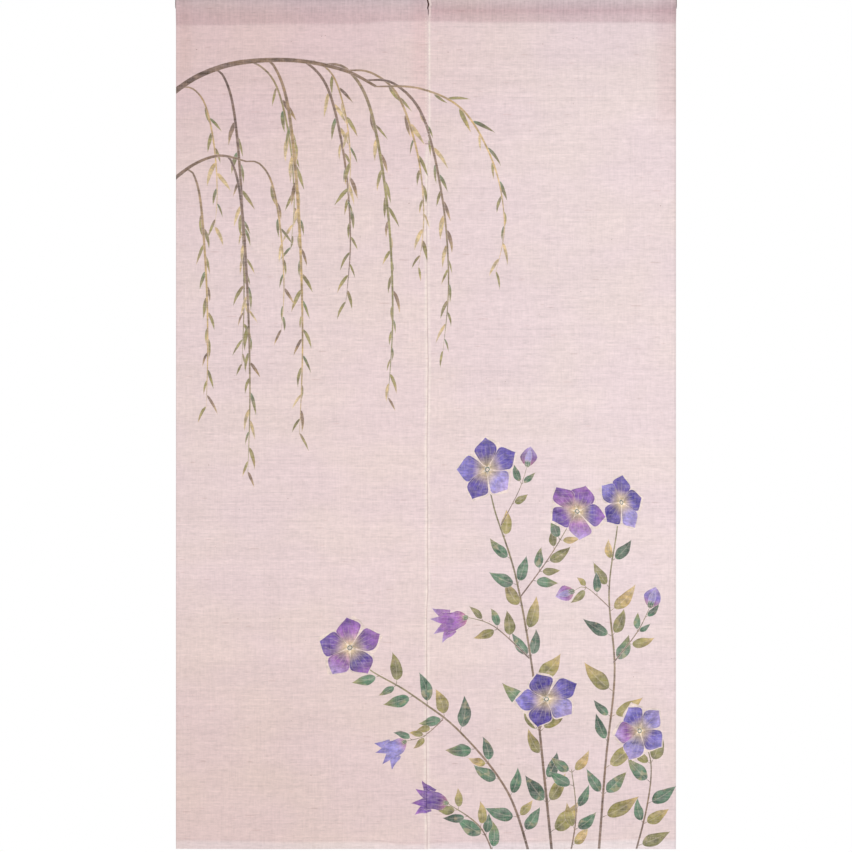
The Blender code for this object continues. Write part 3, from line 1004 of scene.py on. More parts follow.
def emboss(tree, surface, height, strength, distance):
    """Let a height catch the light as fine relief."""
    bump = tree.nodes.new("ShaderNodeBump")
    set_up(bump, Strength=strength, Distance=distance)
    feed(tree, bump.inputs["Height"], height)
    feed(tree, surface.inputs["Normal"], bump.outputs["Normal"])


def noise_at(tree, place, detail):
    noise = tree.nodes.new("ShaderNodeTexNoise")
    set_up(noise, Scale=1.0, Detail=detail)
    tree.links.new(place, noise.inputs["Vector"])
    return noise.outputs["Fac"]


def grain(tree, place, stretch, detail=2.0, start=(0, 0, 0)):
    """Noise with so many waves per metre each way."""
    mapping = tree.nodes.new("ShaderNodeMapping")
    set_up(mapping, Scale=stretch, Location=start)
    tree.links.new(place, mapping.inputs["Vector"])
    return noise_at(tree, mapping.outputs["Vector"], detail)


def split(tree, vector):
    node = tree.nodes.new("ShaderNodeSeparateXYZ")
    tree.links.new(vector, node.inputs[0])
    return node.outputs[0], node.outputs[1], node.outputs[2]


def layer(tree, name):
    """A colour layer of the mesh: its three channels, its colour and its alpha."""
    node = tree.nodes.new("ShaderNodeAttribute")
    node.attribute_name = name
    parts = tree.nodes.new("ShaderNodeSeparateColor")
    tree.links.new(node.outputs["Color"], parts.inputs[0])
    return list(parts.outputs), node.outputs["Color"], node.outputs["Alpha"]


def flat_map(tree, name):
    node = tree.nodes.new("ShaderNodeUVMap")
    node.uv_map = name
    return node.outputs["UV"]


def place_in_room(tree):
    return tree.nodes.new("ShaderNodeTexCoord").outputs["Object"]


# %% [markdown]
# Hand-spun hemp is never even. Thick and thin weft threads run across the cloth as long faint streaks, a few
# knotty slubs stand out among them, the warp adds weaker upright lines, and the whole piece drifts between
# pink and cream. Stretched noise alone looks like wood grain, because real threads are straight and each has
# its own shade. So the place across the threads is rounded to the number of the thread, and the noise along
# it starts afresh for every number. Each row below is one such set of threads.

# %% Hemp cloth: the uneven weave
PINK = (*dye(234, 213, 214), 1)
CREAM_PINK = (*dye(235, 215, 212), 1)
UNDYED = (*dye(248, 234, 226), 1)
THREAD_PITCH = 0.0009      # of warp and weft alike, eleven threads a centimetre
COARSE_PITCH = 0.0027      # three threads side by side, which the loom beats up as one band
SWAY = 0.004               # how far a thread strays from its straight line
APART = 5.37               # how far apart in the noise two neighbouring threads read it
WEAVE = [  # which threads, their pitch, waves per metre along them, how much they brighten, and in the sleeve
    ("weft", COARSE_PITCH, 3.0, 0.150, 0.4),
    ("weft", COARSE_PITCH, 26, 0.190, 0.9),
    ("weft", COARSE_PITCH, 120, 0.170, 1.3),
    ("weft", THREAD_PITCH, 75, 0.240, 1.2),
    ("warp", 0.0018, 7, 0.100, 3.2),
    ("warp", 0.0031, 70, 0.110, 2.2),
    ("warp", THREAD_PITCH, 60, 0.140, 1.4),
]


def thread_shade(tree, swayed, straight, pitch, waves, seed):
    """A value that wanders along each thread and is its own for every thread."""
    number = maths(tree, "FLOOR", maths(tree, "DIVIDE", swayed, pitch))
    spot_on_thread = tree.nodes.new("ShaderNodeCombineXYZ")
    parts = (times(tree, straight, float(waves)), times(tree, number, APART), float(seed))
    for socket, value in zip(spot_on_thread.inputs, parts):
        feed(tree, socket, value)
    return noise_at(tree, spot_on_thread.outputs[0], 1.5)


def woven(tree, place, sleeve):
    """How much brighter each thread is, the height of the threads, and where knots and bits of husk are."""
    across, along, _ = split(tree, place)
    swayed = {"weft": maths(tree, "MULTIPLY_ADD", grain(tree, place, (6, 90, 1), 1.0), SWAY, along),
              "warp": maths(tree, "MULTIPLY_ADD", grain(tree, place, (90, 6, 1), 1.0), SWAY, across)}
    straight = {"weft": across, "warp": along}
    total = swing(tree, grain(tree, place, (1.5, 20, 1), 2.0), 0.11, 0.0)
    total = swing(tree, grain(tree, place, (60, 110, 1), 2.0, (4, 8, 0)), 0.12, total)
    for seed, (threads, pitch, waves, amount, in_sleeve) in enumerate(WEAVE):
        value = thread_shade(tree, swayed[threads], straight[threads], pitch, waves, seed + 1)
        here = maths(tree, "MULTIPLY_ADD", sleeve, amount * (in_sleeve - 1), amount)
        total = swing(tree, value, here, total)
    knots = fade(tree, thread_shade(tree, swayed["weft"], across, 0.0018, 26, 20), 0.68, 0.76)
    husks = fade(tree, thread_shade(tree, swayed["weft"], across, 0.0013, 150, 31), 0.775, 0.80)
    weft, warp = (maths(tree, "SINE", times(tree, swayed[threads], math.pi / THREAD_PITCH))
                  for threads in ("weft", "warp"))
    crossing = maths(tree, "ABSOLUTE", times(tree, weft, warp))
    total = maths(tree, "MULTIPLY_ADD", maths(tree, "SUBTRACT", crossing, 0.4), 0.10, total)
    thick = thread_shade(tree, swayed["weft"], across, THREAD_PITCH, 75, 4)
    height = maths(tree, "MULTIPLY_ADD", crossing, 0.5, times(tree, thick, 0.5))
    return total, height, knots, husks


# %% [markdown]
# The dye lies in the same threads. It is strongest where a wet brush left it, pools in a darker line near the
# rim of a mark, frays a little at the very edge, and takes less on the raised threads. Where the brush was
# dipped a second time the heart of a mark is deeper, and a leaf has spots where the dye was lifted off again.
# Petals have fine veins along them and leaves have veins that slant from the middle, where the cloth shows.

# %% Hemp cloth: the dye in the threads
def veins(tree, share, side, petal_veins, leaf_veins):
    """Where the cloth shows as veins: a petal's run along it and die out, a leaf's slant from its middle."""
    from_middle = maths(tree, "ABSOLUTE", side)
    fine = fade(tree, humps(tree, times(tree, side, math.pi * 2.5)), 0.0, 0.36, 1.0, 0.0)
    fine = times(tree, times(tree, fine, fade(tree, share, 0.30, 0.90, 1.0, 0.0)), petal_veins)
    slant = maths(tree, "SUBTRACT", times(tree, share, 9.0), times(tree, from_middle, 2.2))
    slant = fade(tree, humps(tree, times(tree, slant, math.pi)), 0.0, 0.26, 0.6, 0.0)
    slant = maths(tree, "MAXIMUM", slant, fade(tree, from_middle, 0.03, 0.11, 1.0, 0.0))
    slant = times(tree, slant, leaf_veins)
    return maths(tree, "MAXIMUM", times(tree, fine, 0.30), times(tree, slant, 0.26))


def dyed(tree, place, bare, threads):
    """The colour of the cloth once it is painted."""
    brush_parts, _, luck = layer(tree, "brush")
    _, dye_colour, dye_strength = layer(tree, "dye")
    petal_veins, softness, leaf_veins = brush_parts
    share, side, _ = split(tree, flat_map(tree, "stroke"))
    from_middle = maths(tree, "ABSOLUTE", side)
    ragged = maths(tree, "SUBTRACT", grain(tree, place, (700, 700, 1), 1.0), 0.5)
    rim = maths(tree, "ADD", from_middle, times(tree, times(tree, ragged, softness), 1.6))
    inside = fade(tree, rim, maths(tree, "SUBTRACT", 1.0, softness), 1.0, 1.0, 0.0)
    wash = fade(tree, grain(tree, place, (75, 90, 1), 3.0, (6, 6, 0)), 0.30, 0.70)
    grit = grain(tree, place, (250, 330, 1), 2.0, (9, 9, 0))
    bright = swing(tree, wash, 0.50, 1.02)
    bright = swing(tree, grit, 0.95, bright)
    bright = swing(tree, luck, 0.22, bright)
    pooled = times(tree, fade(tree, from_middle, 0.70, 0.88), inside)
    bright = maths(tree, "MULTIPLY_ADD", pooled, -0.16, bright)
    colour = tint(tree, 1.0, dye_colour, bright, "MULTIPLY")
    second_dip = fade(tree, grain(tree, place, (42, 42, 1), 2.0, (2, 9, 0)), 0.48, 0.60)
    second_dip = times(tree, second_dip, fade(tree, from_middle, 0.30, 0.95, 0.75, 0.0))
    colour = stain_and_shade(tree, second_dip, colour, (0.52, 0.56, 0.66))
    lifted = fade(tree, grain(tree, place, (68, 68, 1), 1.0, (5, 1, 0)), 0.58, 0.70, 0.0, 0.36)
    colour = tint(tree, times(tree, lifted, leaf_veins), colour, (*DYES["straw"], 1))
    colour = tint(tree, veins(tree, share, side, petal_veins, leaf_veins), colour, (*DYES["cream"], 1))
    taken_up = maths(tree, "MULTIPLY_ADD", threads, -1.3, maths(tree, "MULTIPLY_ADD", grit, 0.30, 0.80))
    strength = times(tree, times(tree, dye_strength, inside), taken_up)
    node = tree.nodes.new("ShaderNodeClamp")
    feed(tree, node.inputs["Value"], strength)
    return tint(tree, node.outputs[0], bare, colour)


# %% [markdown]
# Over the rod the cloth is painted greyer, a painted shade for the dark wood seen through the sheer hemp. The
# sleeve is painted darker than the single cloth as painted shade, lighter over the rod's top, and the tight
# hem is paler, with a thin painted shade line where it begins. Painted light and shade also lie over the
# whole cloth, as from a soft light at the upper right, and beside its edges and the seam. The selvedges
# stayed free of dye, so they are pale cream. Sheen gives the dry bloom of plant fibre at a slant, and the
# bump is the weave.

# %% Hemp cloth: the whole finish
# Painted light and shade over the whole cloth, as from a soft light at the upper right: a touch lighter and
# cooler to the right but darker at its very top, darker towards the bottom and more so at the lower left, and
# darker in a band of the sleeve right of the slit.
PAINTED_LIGHT_TONES = [  # where it comes in, across and in height, its tint, and whether in the sleeve alone
    ((-0.10, 0.30), (-0.20, -0.03), (0.97, 0.965, 0.965), False),
    ((-0.10, 0.30), None, (1.00, 1.025, 1.04), False),
    (None, (-0.90, -1.45), (0.96, 0.94, 0.93), False),
    ((0.10, -0.45), (-0.90, -1.45), (0.98, 0.96, 0.93), False),
    ((SLIT_X, SLIT_X + 0.004), (-0.009, -0.014), (0.98, 0.94, 0.95), True),
]
# Painted shade beside the outer selvedges and on the left panel beside the seam, darkest at the very outer
# edges, with a lighter strip along the top of the left edge.
PAINTED_EDGE_TONES = [  # the same beside the outer selvedges and the seam
    ((CLOTH_LEFT + 0.036, CLOTH_LEFT + 0.016), (-0.20, -0.09), (0.955, 0.935, 0.92), False),
    ((CLOTH_LEFT + 0.008, CLOTH_LEFT + 0.006), (-0.20, -0.09), (1.06, 1.075, 1.085), False),
    ((CLOTH_LEFT + 0.0026, CLOTH_LEFT + 0.0012), None, (0.89, 0.90, 0.90), False),
    ((CLOTH_RIGHT - 0.045, CLOTH_RIGHT - 0.020), (-0.235, -0.185), (0.935, 0.90, 0.91), False),
    ((SLIT_X - 0.040, SLIT_X - 0.015), (-0.30, -0.24), (0.99, 0.945, 0.95), False),
    ((SLIT_X - 0.002, SLIT_X), (-0.30, -0.24), (1.01, 1.058, 1.053), False),
    ((CLOTH_RIGHT - 0.010, CLOTH_RIGHT - 0.002), (-0.60, -0.30), (0.97, 0.96, 0.955), False),
    ((CLOTH_RIGHT - 0.0042, CLOTH_RIGHT - 0.0008), None, (0.875, 0.895, 0.89), False),
]


def painted_light_and_shade(tree, colour, sleeve):
    """Painted light and shade, as from a soft light at the upper right: the top left corner darker and
    pinker, then the rows of both tables.
    """
    x, _, z = split(tree, place_in_room(tree))
    sideways = times(tree, maths(tree, "SUBTRACT", x, CLOTH_LEFT), 0.62)
    # Painted shade: the top left corner darker and pinker.
    shaded_corner = fade(tree, distance(tree, sideways, z), 0.02, 0.50, 1.0, 0.0)
    colour = stain_and_shade(tree, shaded_corner, colour, (0.93, 0.86, 0.87))
    for across, height, by, sleeve_only in PAINTED_LIGHT_TONES + PAINTED_EDGE_TONES:
        share = fade(tree, x, *across) if across else 1.0
        share = times(tree, share, fade(tree, z, *height) if height else 1.0)
        share = times(tree, share, sleeve if sleeve_only else 1.0)
        colour = stain_and_shade(tree, share, colour, by)
    return colour


def hemp_cloth():
    finish, tree, surface = new_finish("pink_hemp")
    place = flat_map(tree, "cloth")
    zone_parts, _, hem = layer(tree, "zones")
    selvedge, on_rod, sleeve = zone_parts
    threads, height, knots, husks = woven(tree, place, sleeve)
    drift = fade(tree, grain(tree, place, (5, 7, 1), 2.0, (1, 3, 0)), 0.36, 0.66)
    bare = painted_light_and_shade(tree, tint(tree, drift, PINK, CREAM_PINK), sleeve)
    # Painted shade: greyer over the rod for the dark wood seen through the sheer cloth, darker in the sleeve,
    # and a thin painted shade line where the hem begins; the hem itself is paler.
    hem_fold_shade = times(tree, fade(tree, hem, 0.0, 0.06), fade(tree, hem, 0.08, 0.35, 1.0, 0.0))
    for share, by in ((on_rod, (0.93, 1.00, 1.02)), (sleeve, (0.74, 0.68, 0.70)), (hem, (1.03, 1.10, 1.13)),
                      (hem_fold_shade, (0.96, 0.95, 0.95))):
        bare = stain_and_shade(tree, share, bare, by)
    uneven = fade(tree, grain(tree, place, (60, 40, 1), 2.0, (7, 3, 0)), 0.30, 0.62, 0.45, 1.0)
    uneven = times(tree, uneven, maths(tree, "MULTIPLY_ADD", sleeve, -0.6, 1.0))
    bare = tint(tree, times(tree, selvedge, uneven), bare, UNDYED)
    painted = dyed(tree, place, bare, threads)
    painted = tint(tree, 1.0, painted, maths(tree, "ADD", threads, 1.0), "MULTIPLY")
    for share, by in ((knots, (0.90, 0.86, 0.85)), (husks, (0.62, 0.52, 0.50))):
        painted = stain_and_shade(tree, share, painted, by)
    feed(tree, surface.inputs["Base Color"], painted)
    feed(tree, surface.inputs["Roughness"], fade(tree, height, 0.0, 0.8, 0.96, 0.82))
    emboss(tree, surface, height, 0.6, 0.00025)
    set_up(surface, Sheen_Weight=0.12, Sheen_Roughness=0.5, Specular_IOR_Level=0.25)
    return finish


hemp = hemp_cloth()
for side, panel in PANELS.items():
    cloth = sheets[side]
    cloth.data.materials.append(hemp)
    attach(cloth, body)
    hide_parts(panel["node"])
print("cloth dressed")

# %% [markdown]
# ## Sewing thread
#
# One stitch is a grain of thread that dives into the cloth at both ends. It is modelled once, from a small
# ball that is stretched, flattened and bent, and then set along every seam: two rows on each sleeve and hem,
# front and back. A stitch is only 48 triangles, because there are hundreds.

# %% One stitch
STITCH_LENGTH = 0.0030
STITCH_PITCH = 0.0043
THREAD_RADIUS = 0.00026


def model_stitch():
    """A stitch at the origin that lies along X with the cloth below it, as points and faces."""
    bpy.ops.object.select_all(action="DESELECT")
    bpy.ops.mesh.primitive_uv_sphere_add(segments=6, ring_count=5, radius=1, location=(0, 0, 0))
    grain_of_thread = bpy.context.object
    bpy.ops.object.mode_set(mode="EDIT")
    bpy.ops.mesh.select_all(action="SELECT")
    bpy.ops.transform.rotate(value=math.pi / 2, orient_axis="Y", center_override=(0, 0, 0))
    bpy.ops.transform.resize(value=(STITCH_LENGTH / 2, THREAD_RADIUS * 1.15, THREAD_RADIUS * 0.9))
    bpy.ops.mesh.select_all(action="DESELECT")
    bpy.ops.object.mode_set(mode="OBJECT")
    for vertex in grain_of_thread.data.vertices:
        vertex.select = abs(vertex.co.x) > STITCH_LENGTH * 0.35
    bpy.ops.object.mode_set(mode="EDIT")
    bpy.ops.transform.translate(value=(0, 0, -THREAD_RADIUS * 0.8))
    bpy.ops.object.mode_set(mode="OBJECT")
    points = np.array([vertex.co[:] for vertex in grain_of_thread.data.vertices])
    faces = [list(face.vertices) for face in grain_of_thread.data.polygons]
    bpy.data.objects.remove(grain_of_thread, do_unlink=True)
    return points, faces


STITCH_POINTS, STITCH_FACES = model_stitch()
stitch_luck = random.Random(7)


def set_stitches(name, places, finish, thickness=1.0):
    """One mesh of stitches. A place is a stitch's middle, its direction, the way out, and its length."""
    points, faces = [], []
    for middle, direction, outwards, length in places:
        along = np.array(direction) / np.linalg.norm(direction)
        out = np.array(outwards, float) - along * np.dot(outwards, along)
        out /= np.linalg.norm(out)
        turned = np.stack([along, np.cross(out, along), out])
        scale = np.array([length / STITCH_LENGTH, thickness, thickness])
        first = len(points)
        points += ((STITCH_POINTS * scale) @ turned + np.array(middle)).tolist()
        faces += [[first + i for i in face] for face in STITCH_FACES]
    mesh = bpy.data.meshes.new(name)
    mesh.from_pydata(points, [], faces)
    mesh.shade_smooth()
    mesh.materials.append(finish)
    row = bpy.data.objects.new(name, mesh)
    bpy.context.scene.collection.objects.link(row)
    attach(row, body)
    return row


# %% [markdown]
# Cotton thread is two plies twisted together, so its finish has slanting lines that are a little darker, and
# a fine fuzz of lighter fibres. The same finish in three colours serves the hems, the seam and the bar tack.

# %% Thread finishes
def cotton_thread(name, colour):
    finish, tree, surface = new_finish(name)
    place = place_in_room(tree)
    across, _, height = split(tree, place)
    twist = maths(tree, "ADD", times(tree, across, 7000.0), times(tree, height, 9000.0))
    ply = fade(tree, humps(tree, twist), 0.0, 0.8)
    fuzz = grain(tree, place, (1800, 1800, 1800), 2.0)
    shade = maths(tree, "MULTIPLY_ADD", ply, 0.22, maths(tree, "MULTIPLY_ADD", fuzz, 0.16, 0.72))
    feed(tree, surface.inputs["Base Color"], tint(tree, 1.0, (*colour, 1), shade, "MULTIPLY"))
    feed(tree, surface.inputs["Roughness"], fade(tree, fuzz, 0.3, 0.7, 0.75, 0.92))
    emboss(tree, surface, ply, 0.5, 0.00008)
    set_up(surface, Sheen_Weight=0.15)
    return finish


pink_thread = cotton_thread("pink_thread", dye(226, 200, 200))
cream_thread = cotton_thread("cream_thread", dye(252, 240, 230))
tack_thread = cotton_thread("tack_thread", dye(180, 154, 147))


# %% [markdown]
# The row that closes a sleeve goes through all its layers, so it shows on the front and on the back. So does
# the row that closes a hem. Each stitch is set on the hung cloth itself, a hair's breadth proud of it.

# %% Stitches along the sleeves and hems
STITCH_REACH = 0.001       # the cloth's slope is read this far to either side of a stitch


def row_places(panel, along, outwards, line=None):
    """Places of a row of stitches across a panel, at one distance along its cloth or beside a sewn line."""
    places = []
    across = STITCH_PITCH
    while across < panel["width"] - STITCH_PITCH:
        ends = np.array([across - STITCH_REACH, across + STITCH_REACH])
        a, b = hang(panel, ends, along - (line_rise(panel, line, ends) if line else np.zeros(2)))
        out = np.array([0, outwards, 0])
        middle = (a + b) / 2 + out * (CLOTH_THICKNESS / 2 + THREAD_RADIUS * 0.35)
        places.append((middle, b - a, out, STITCH_LENGTH * stitch_luck.uniform(0.9, 1.08)))
        across += STITCH_PITCH * stitch_luck.uniform(0.94, 1.06)
    return places


for side, panel in PANELS.items():
    back_of_sleeve = SLEEVE_ALLOWANCE + math.pi * LAYER_PITCH / 2 + STITCH_FROM_EDGE
    front_of_sleeve = panel["stitch_along"] - STITCH_FROM_EDGE
    front_of_hem = panel["stitch_along"] + panel["stitch_z"] - (BOTTOM_Z + HEM_DEPTH - STITCH_FROM_EDGE)
    back_of_hem = panel["along"][-1] - HEM_ALLOWANCE - math.pi * LAYER_PITCH / 2 - STITCH_FROM_EDGE
    sleeve_places = row_places(panel, front_of_sleeve, -1, "sleeve_line")
    sleeve_places += row_places(panel, back_of_sleeve, 1)
    hem_places = row_places(panel, front_of_hem, -1, "hem_line")
    hem_places += row_places(panel, back_of_hem, 1)
    set_stitches(f"{side}_sleeve_stitches", sleeve_places, pink_thread)
    set_stitches(f"{side}_hem_stitches", hem_places, pink_thread)
    print(side, "stitches", len(sleeve_places) + len(hem_places))

# %% [markdown]
# The two panels are joined by hand below the sleeves. A running stitch shows as small dashes beside the
# joint, and slanting stitches whip the two selvedges together. At the foot of the seam a bar tack, a few
# darker threads laid side by side, keeps the slit from tearing further.

# %% The centre seam and its bar tack
DASH_PITCH = 0.0062
DASH_LENGTH = 0.0031
DASH_FROM_SLIT = 0.0040    # the running stitch lies in the left panel
DASH_KEEP_OFF = 0.004      # and begins and ends this far inside the seam
WHIP_PITCH = 0.0048
WHIP_LENGTH = 0.0031
WHIP_FROM, WHIP_TO = -0.0012, 0.0013  # a slanting stitch's ends, from the slit,
WHIP_SLANT = 0.0011        # and how much lower its right end is
TACK_LENGTH = 0.0122
TACK_MIDDLE = 0.0001       # how far right of the slit the bar tack's middle is
TACK_PITCH = 0.00046       # from one thread of the bar tack to the next
TACK_RISE = 0.0002         # the bar tack lies over the other threads


def front_place(x, z):
    """A place on the front of the hung cloth near the seam, in the middle of its thickness."""
    panel = PANELS["left"] if x < SLIT_X else PANELS["right"]
    along = panel["stitch_along"] + panel["stitch_z"] - z
    across = np.clip(x - panel["left"], 0, panel["width"])
    return hang(panel, [across], [along])[0]


def lift(place):
    """From the middle of the cloth to its face, with the thread sunk in a little."""
    return place + np.array([0, -(SELVEDGE_THICKNESS / 2 + THREAD_RADIUS * 0.3), 0])


dashes, whips = [], []
z = SEAM_TOP_Z - DASH_KEEP_OFF
while z > SEAM_FOOT_Z + DASH_KEEP_OFF:
    x = SLIT_X - DASH_FROM_SLIT + stitch_luck.uniform(-0.0002, 0.0002)
    length = DASH_LENGTH * stitch_luck.uniform(0.85, 1.1)
    dashes.append((lift(front_place(x, z)), (0.03, 0, -1), (0, -1, 0), length))
    z -= DASH_PITCH * stitch_luck.uniform(0.93, 1.07)
z = SEAM_TOP_Z - 0.001
while z > SEAM_FOOT_Z + 0.002:
    a = lift(front_place(SLIT_X + WHIP_FROM, z))
    b = lift(front_place(SLIT_X + WHIP_TO, z - WHIP_SLANT))
    whips.append(((a + b) / 2, b - a, (0, -1, 0), WHIP_LENGTH))
    z -= WHIP_PITCH * stitch_luck.uniform(0.9, 1.1)
tacks = []
for i in range(3):
    middle = lift(front_place(SLIT_X + TACK_MIDDLE, SEAM_FOOT_Z - TACK_PITCH * i))
    middle = middle - np.array([0, TACK_RISE, 0])
    length = TACK_LENGTH * stitch_luck.uniform(0.92, 1.05)
    tacks.append((middle, (1, 0, 0.02 * (i - 1)), (0, -1, 0), length))
set_stitches("centre_seam_dashes", dashes, cream_thread, 1.7)
set_stitches("centre_seam_whips", whips, pink_thread, 0.9)
set_stitches("bar_tack", tacks, tack_thread, 1.0)
print("seam", len(dashes), "dashes,", len(whips), "whip stitches")

# %% [markdown]
# ## The rod
#
# The rod hardly shows: a sliver between the two sleeves and its two ends. It is turned from a plain bar, so
# it starts as a cylinder. Its sharp end edges are bevelled, and each end face is inset and pushed in a
# little, as a sawn end is after sanding.

# %% The rod
ROD_LENGTH = rod_high[0] - rod_low[0]
END_BEVEL = 0.0009
END_INSETS = [(0.0016, 0.0002), (0.0030, 0.0001)]


def turn_rod():
    bpy.ops.object.select_all(action="DESELECT")
    bpy.ops.mesh.primitive_cylinder_add(vertices=48, radius=ROD_RADIUS, depth=ROD_LENGTH, location=(0, 0, 0))
    rod = bpy.context.object
    rod.name = rod.data.name = "hanging_rod"
    bpy.ops.object.mode_set(mode="EDIT")
    bpy.ops.mesh.select_all(action="SELECT")
    bpy.ops.transform.rotate(value=math.pi / 2, orient_axis="Y", center_override=(0, 0, 0))
    bpy.ops.mesh.select_all(action="DESELECT")
    bpy.ops.object.mode_set(mode="OBJECT")
    for face in rod.data.polygons:
        face.select = abs(face.normal.x) > 0.9
    bpy.ops.object.mode_set(mode="EDIT")
    bpy.ops.mesh.bevel(offset=END_BEVEL, segments=3, affect="EDGES")
    bpy.ops.mesh.select_all(action="DESELECT")
    bpy.ops.object.mode_set(mode="OBJECT")
    for face in rod.data.polygons:
        face.select = abs(face.normal.x) > 0.999 and len(face.vertices) > 8
    bpy.ops.object.mode_set(mode="EDIT")
    for inwards, sunk in END_INSETS:
        bpy.ops.mesh.inset(thickness=inwards, depth=-sunk)
    bpy.ops.object.mode_set(mode="OBJECT")
    bpy.ops.object.shade_smooth_by_angle(angle=math.radians(35))
    return rod


# %% [markdown]
# The wood is stained dark. Long streaks of grain run along the rod, and the same rings show round on its
# ends, because the pattern is a set of uneven rings about a line along the rod, as in the tree.

# %% Dark stained wood
HEART_IN_FRONT = 0.013     # the heart of the tree lay this far in front of the rod's axis
RINGS_PER_METRE = 4200.0   # in radians, which is about 670 rings
RING_WANDER = 14.0         # in radians too, how far a ring strays from round
STAINS = {name: (*dye(*seen), 1) for name, seen in (
    ("dark", (60, 29, 23)), ("light", (92, 51, 38)), ("pore", (42, 24, 20)), ("worn", (112, 78, 58)))}


def stained_wood():
    finish, tree, surface = new_finish("dark_wood")
    place = place_in_room(tree)
    _, y, z = split(tree, place)
    wander = grain(tree, place, (5, 60, 60), 2.0)
    from_heart = distance(tree, maths(tree, "ADD", y, HEART_IN_FRONT), z)
    rings = maths(tree, "MULTIPLY_ADD", wander, RING_WANDER, times(tree, from_heart, RINGS_PER_METRE))
    rings = fade(tree, maths(tree, "SINE", rings), -0.6, 0.9)
    pores = grain(tree, place, (30, 1500, 1500), 2.0, (3, 3, 3))
    wear = grain(tree, place, (14, 40, 40), 3.0, (6, 1, 2))
    wood = tint(tree, rings, STAINS["dark"], STAINS["light"])
    wood = tint(tree, fade(tree, pores, 0.55, 0.75, 0.0, 0.7), wood, STAINS["pore"])
    wood = tint(tree, fade(tree, wear, 0.55, 0.8, 0.0, 0.2), wood, STAINS["worn"])
    feed(tree, surface.inputs["Base Color"], wood)
    feed(tree, surface.inputs["Roughness"], fade(tree, pores, 0.3, 0.8, 0.38, 0.62))
    emboss(tree, surface, maths(tree, "SUBTRACT", rings, pores), 0.4, 0.0001)
    set_up(surface, Specular_IOR_Level=0.22, Coat_Weight=0.03, Coat_Roughness=0.35)
    return finish


rod = turn_rod()
rod.data.materials.append(stained_wood())
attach(rod, body)
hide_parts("rod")
print("rod", len(rod.data.polygons), "faces")

# %% [markdown]
# ## Floor, light and camera
#
# The curtain hangs over a plain pale floor that fades out all round. The light is soft and comes from the
# upper right in front, with a weaker fill from the left and one behind, and a pale sky all round. The camera
# looks straight at the middle of the curtain from far away, which keeps its edges parallel.

# %% The floor
FLOOR_BELOW_HEM = 0.45
FLOOR_RADIUS = 3.8
FLOOR_FULL_RADIUS = 0.9    # where it begins to fade out
bpy.ops.object.select_all(action="DESELECT")
bpy.ops.mesh.primitive_circle_add(vertices=96, radius=FLOOR_RADIUS, fill_type="NGON",
                                  location=(0, 0, BOTTOM_Z - FLOOR_BELOW_HEM))
floor = bpy.context.object
floor.name = "floor"
floor_paint, floor_tree, floor_surface = new_finish("pale_floor")
floor_place = place_in_room(floor_tree)
clouds = grain(floor_tree, floor_place, (3, 3, 3), 3.0)
feed(floor_tree, floor_surface.inputs["Base Color"],
     tint(floor_tree, clouds, (0.87, 0.86, 0.85, 1), (0.91, 0.90, 0.89, 1)))
set_up(floor_surface, Roughness=0.8)
from_middle_of_floor = floor_tree.nodes.new("ShaderNodeVectorMath")
from_middle_of_floor.operation = "LENGTH"
floor_tree.links.new(floor_place, from_middle_of_floor.inputs[0])
faded = fade(floor_tree, from_middle_of_floor.outputs["Value"], FLOOR_FULL_RADIUS, FLOOR_RADIUS - 0.1)
nothing = floor_tree.nodes.new("ShaderNodeBsdfTransparent")
floor_edge = floor_tree.nodes.new("ShaderNodeMixShader")
feed(floor_tree, floor_edge.inputs[0], faded)
floor_tree.links.new(floor_surface.outputs[0], floor_edge.inputs[1])
floor_tree.links.new(nothing.outputs[0], floor_edge.inputs[2])
floor_tree.links.new(floor_edge.outputs[0], floor_tree.nodes["Material Output"].inputs["Surface"])
floor.data.materials.append(floor_paint)


# %% Soft light
def soft_light(name, place, aim, size, watts):
    lamp = bpy.data.lights.new(name, "AREA")
    lamp.shape = "DISK"
    lamp.size = size
    lamp.energy = watts
    light = bpy.data.objects.new(name, lamp)
    light.location = place
    light.rotation_euler = (Vector(aim) - Vector(place)).to_track_quat("-Z", "Y").to_euler()
    bpy.context.scene.collection.objects.link(light)


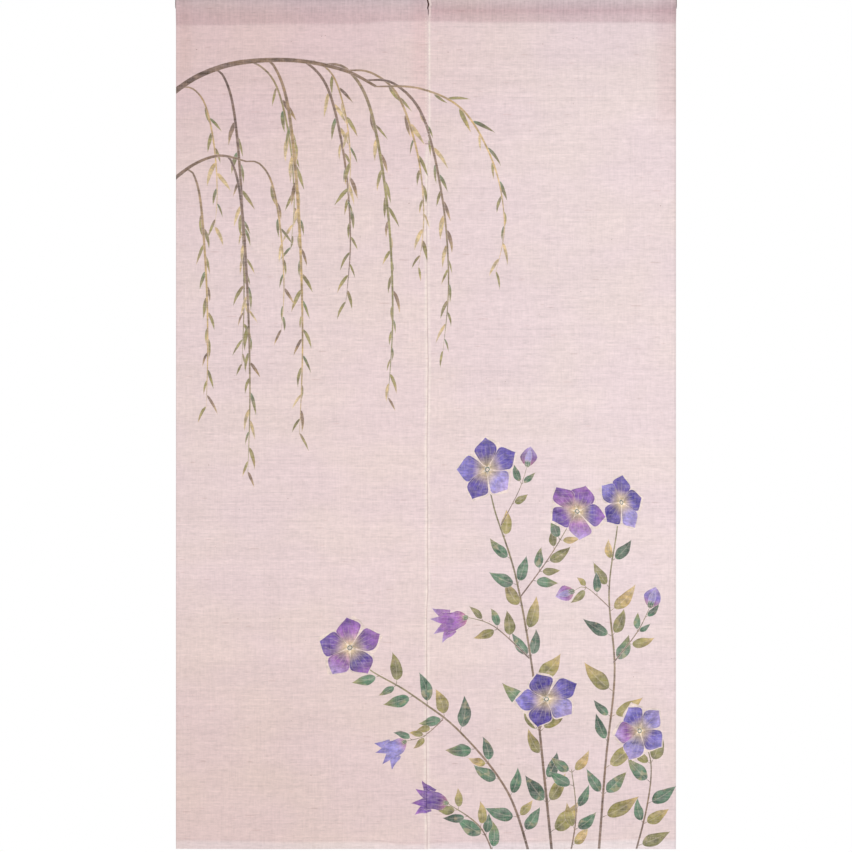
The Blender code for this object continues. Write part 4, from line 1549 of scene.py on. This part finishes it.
LIGHTS = [  # name, place, what it looks at, size, watts
    ("key", (1.7, -3.4, -0.35), (0.15, 0, -0.72), 2.4, 72),
    ("fill", (-2.4, -2.8, -0.5), (0, 0, -0.8), 2.4, 16),
    ("back", (-1.2, 3.2, 0.4), (0, 0, -0.7), 2.2, 60),
]
for light in LIGHTS:
    soft_light(*light)

world = bpy.data.worlds.new("pale_sky")
bpy.context.scene.world = world
world.use_nodes = True
sky = world.node_tree
sky.nodes.clear()
seen, lighting = sky.nodes.new("ShaderNodeBackground"), sky.nodes.new("ShaderNodeBackground")
set_up(seen, Color=(1, 1, 1, 1))
set_up(lighting, Color=(1.0, 0.99, 0.98, 1), Strength=0.44)
ray, mixer, sky_out = (sky.nodes.new(kind) for kind in
                       ("ShaderNodeLightPath", "ShaderNodeMixShader", "ShaderNodeOutputWorld"))
sky.links.new(ray.outputs["Is Camera Ray"], mixer.inputs[0])
sky.links.new(lighting.outputs[0], mixer.inputs[1])
sky.links.new(seen.outputs[0], mixer.inputs[2])
sky.links.new(mixer.outputs[0], sky_out.inputs["Surface"])
bpy.context.scene.view_settings.view_transform = "Standard"

# %% [markdown]
# The frame of the picture is 852 pixels each way, and the curtain is 500 pixels wide in it, which gives the
# width of the view at the curtain. The top few millimetres of the curtain lie just above the frame.

# %% The camera
FRAME_PIXELS, CURTAIN_PIXELS = 852, 500
TOP_OUT_OF_FRAME = 0.006
CAMERA_DISTANCE = 7.0
view_size = (CLOTH_RIGHT - CLOTH_LEFT) * FRAME_PIXELS / CURTAIN_PIXELS
lens = bpy.data.cameras.new("camera")
lens.sensor_width = 36.0
lens.lens = lens.sensor_width * CAMERA_DISTANCE / view_size
camera = bpy.data.objects.new("camera", lens)
camera.location = (0, -CAMERA_DISTANCE, TOP_Z - TOP_OUT_OF_FRAME - view_size / 2)
camera.rotation_euler = (math.pi / 2, 0, 0)
bpy.context.scene.collection.objects.link(camera)
bpy.context.scene.camera = camera
print("view", round(view_size, 4), "lens", round(lens.lens, 1))
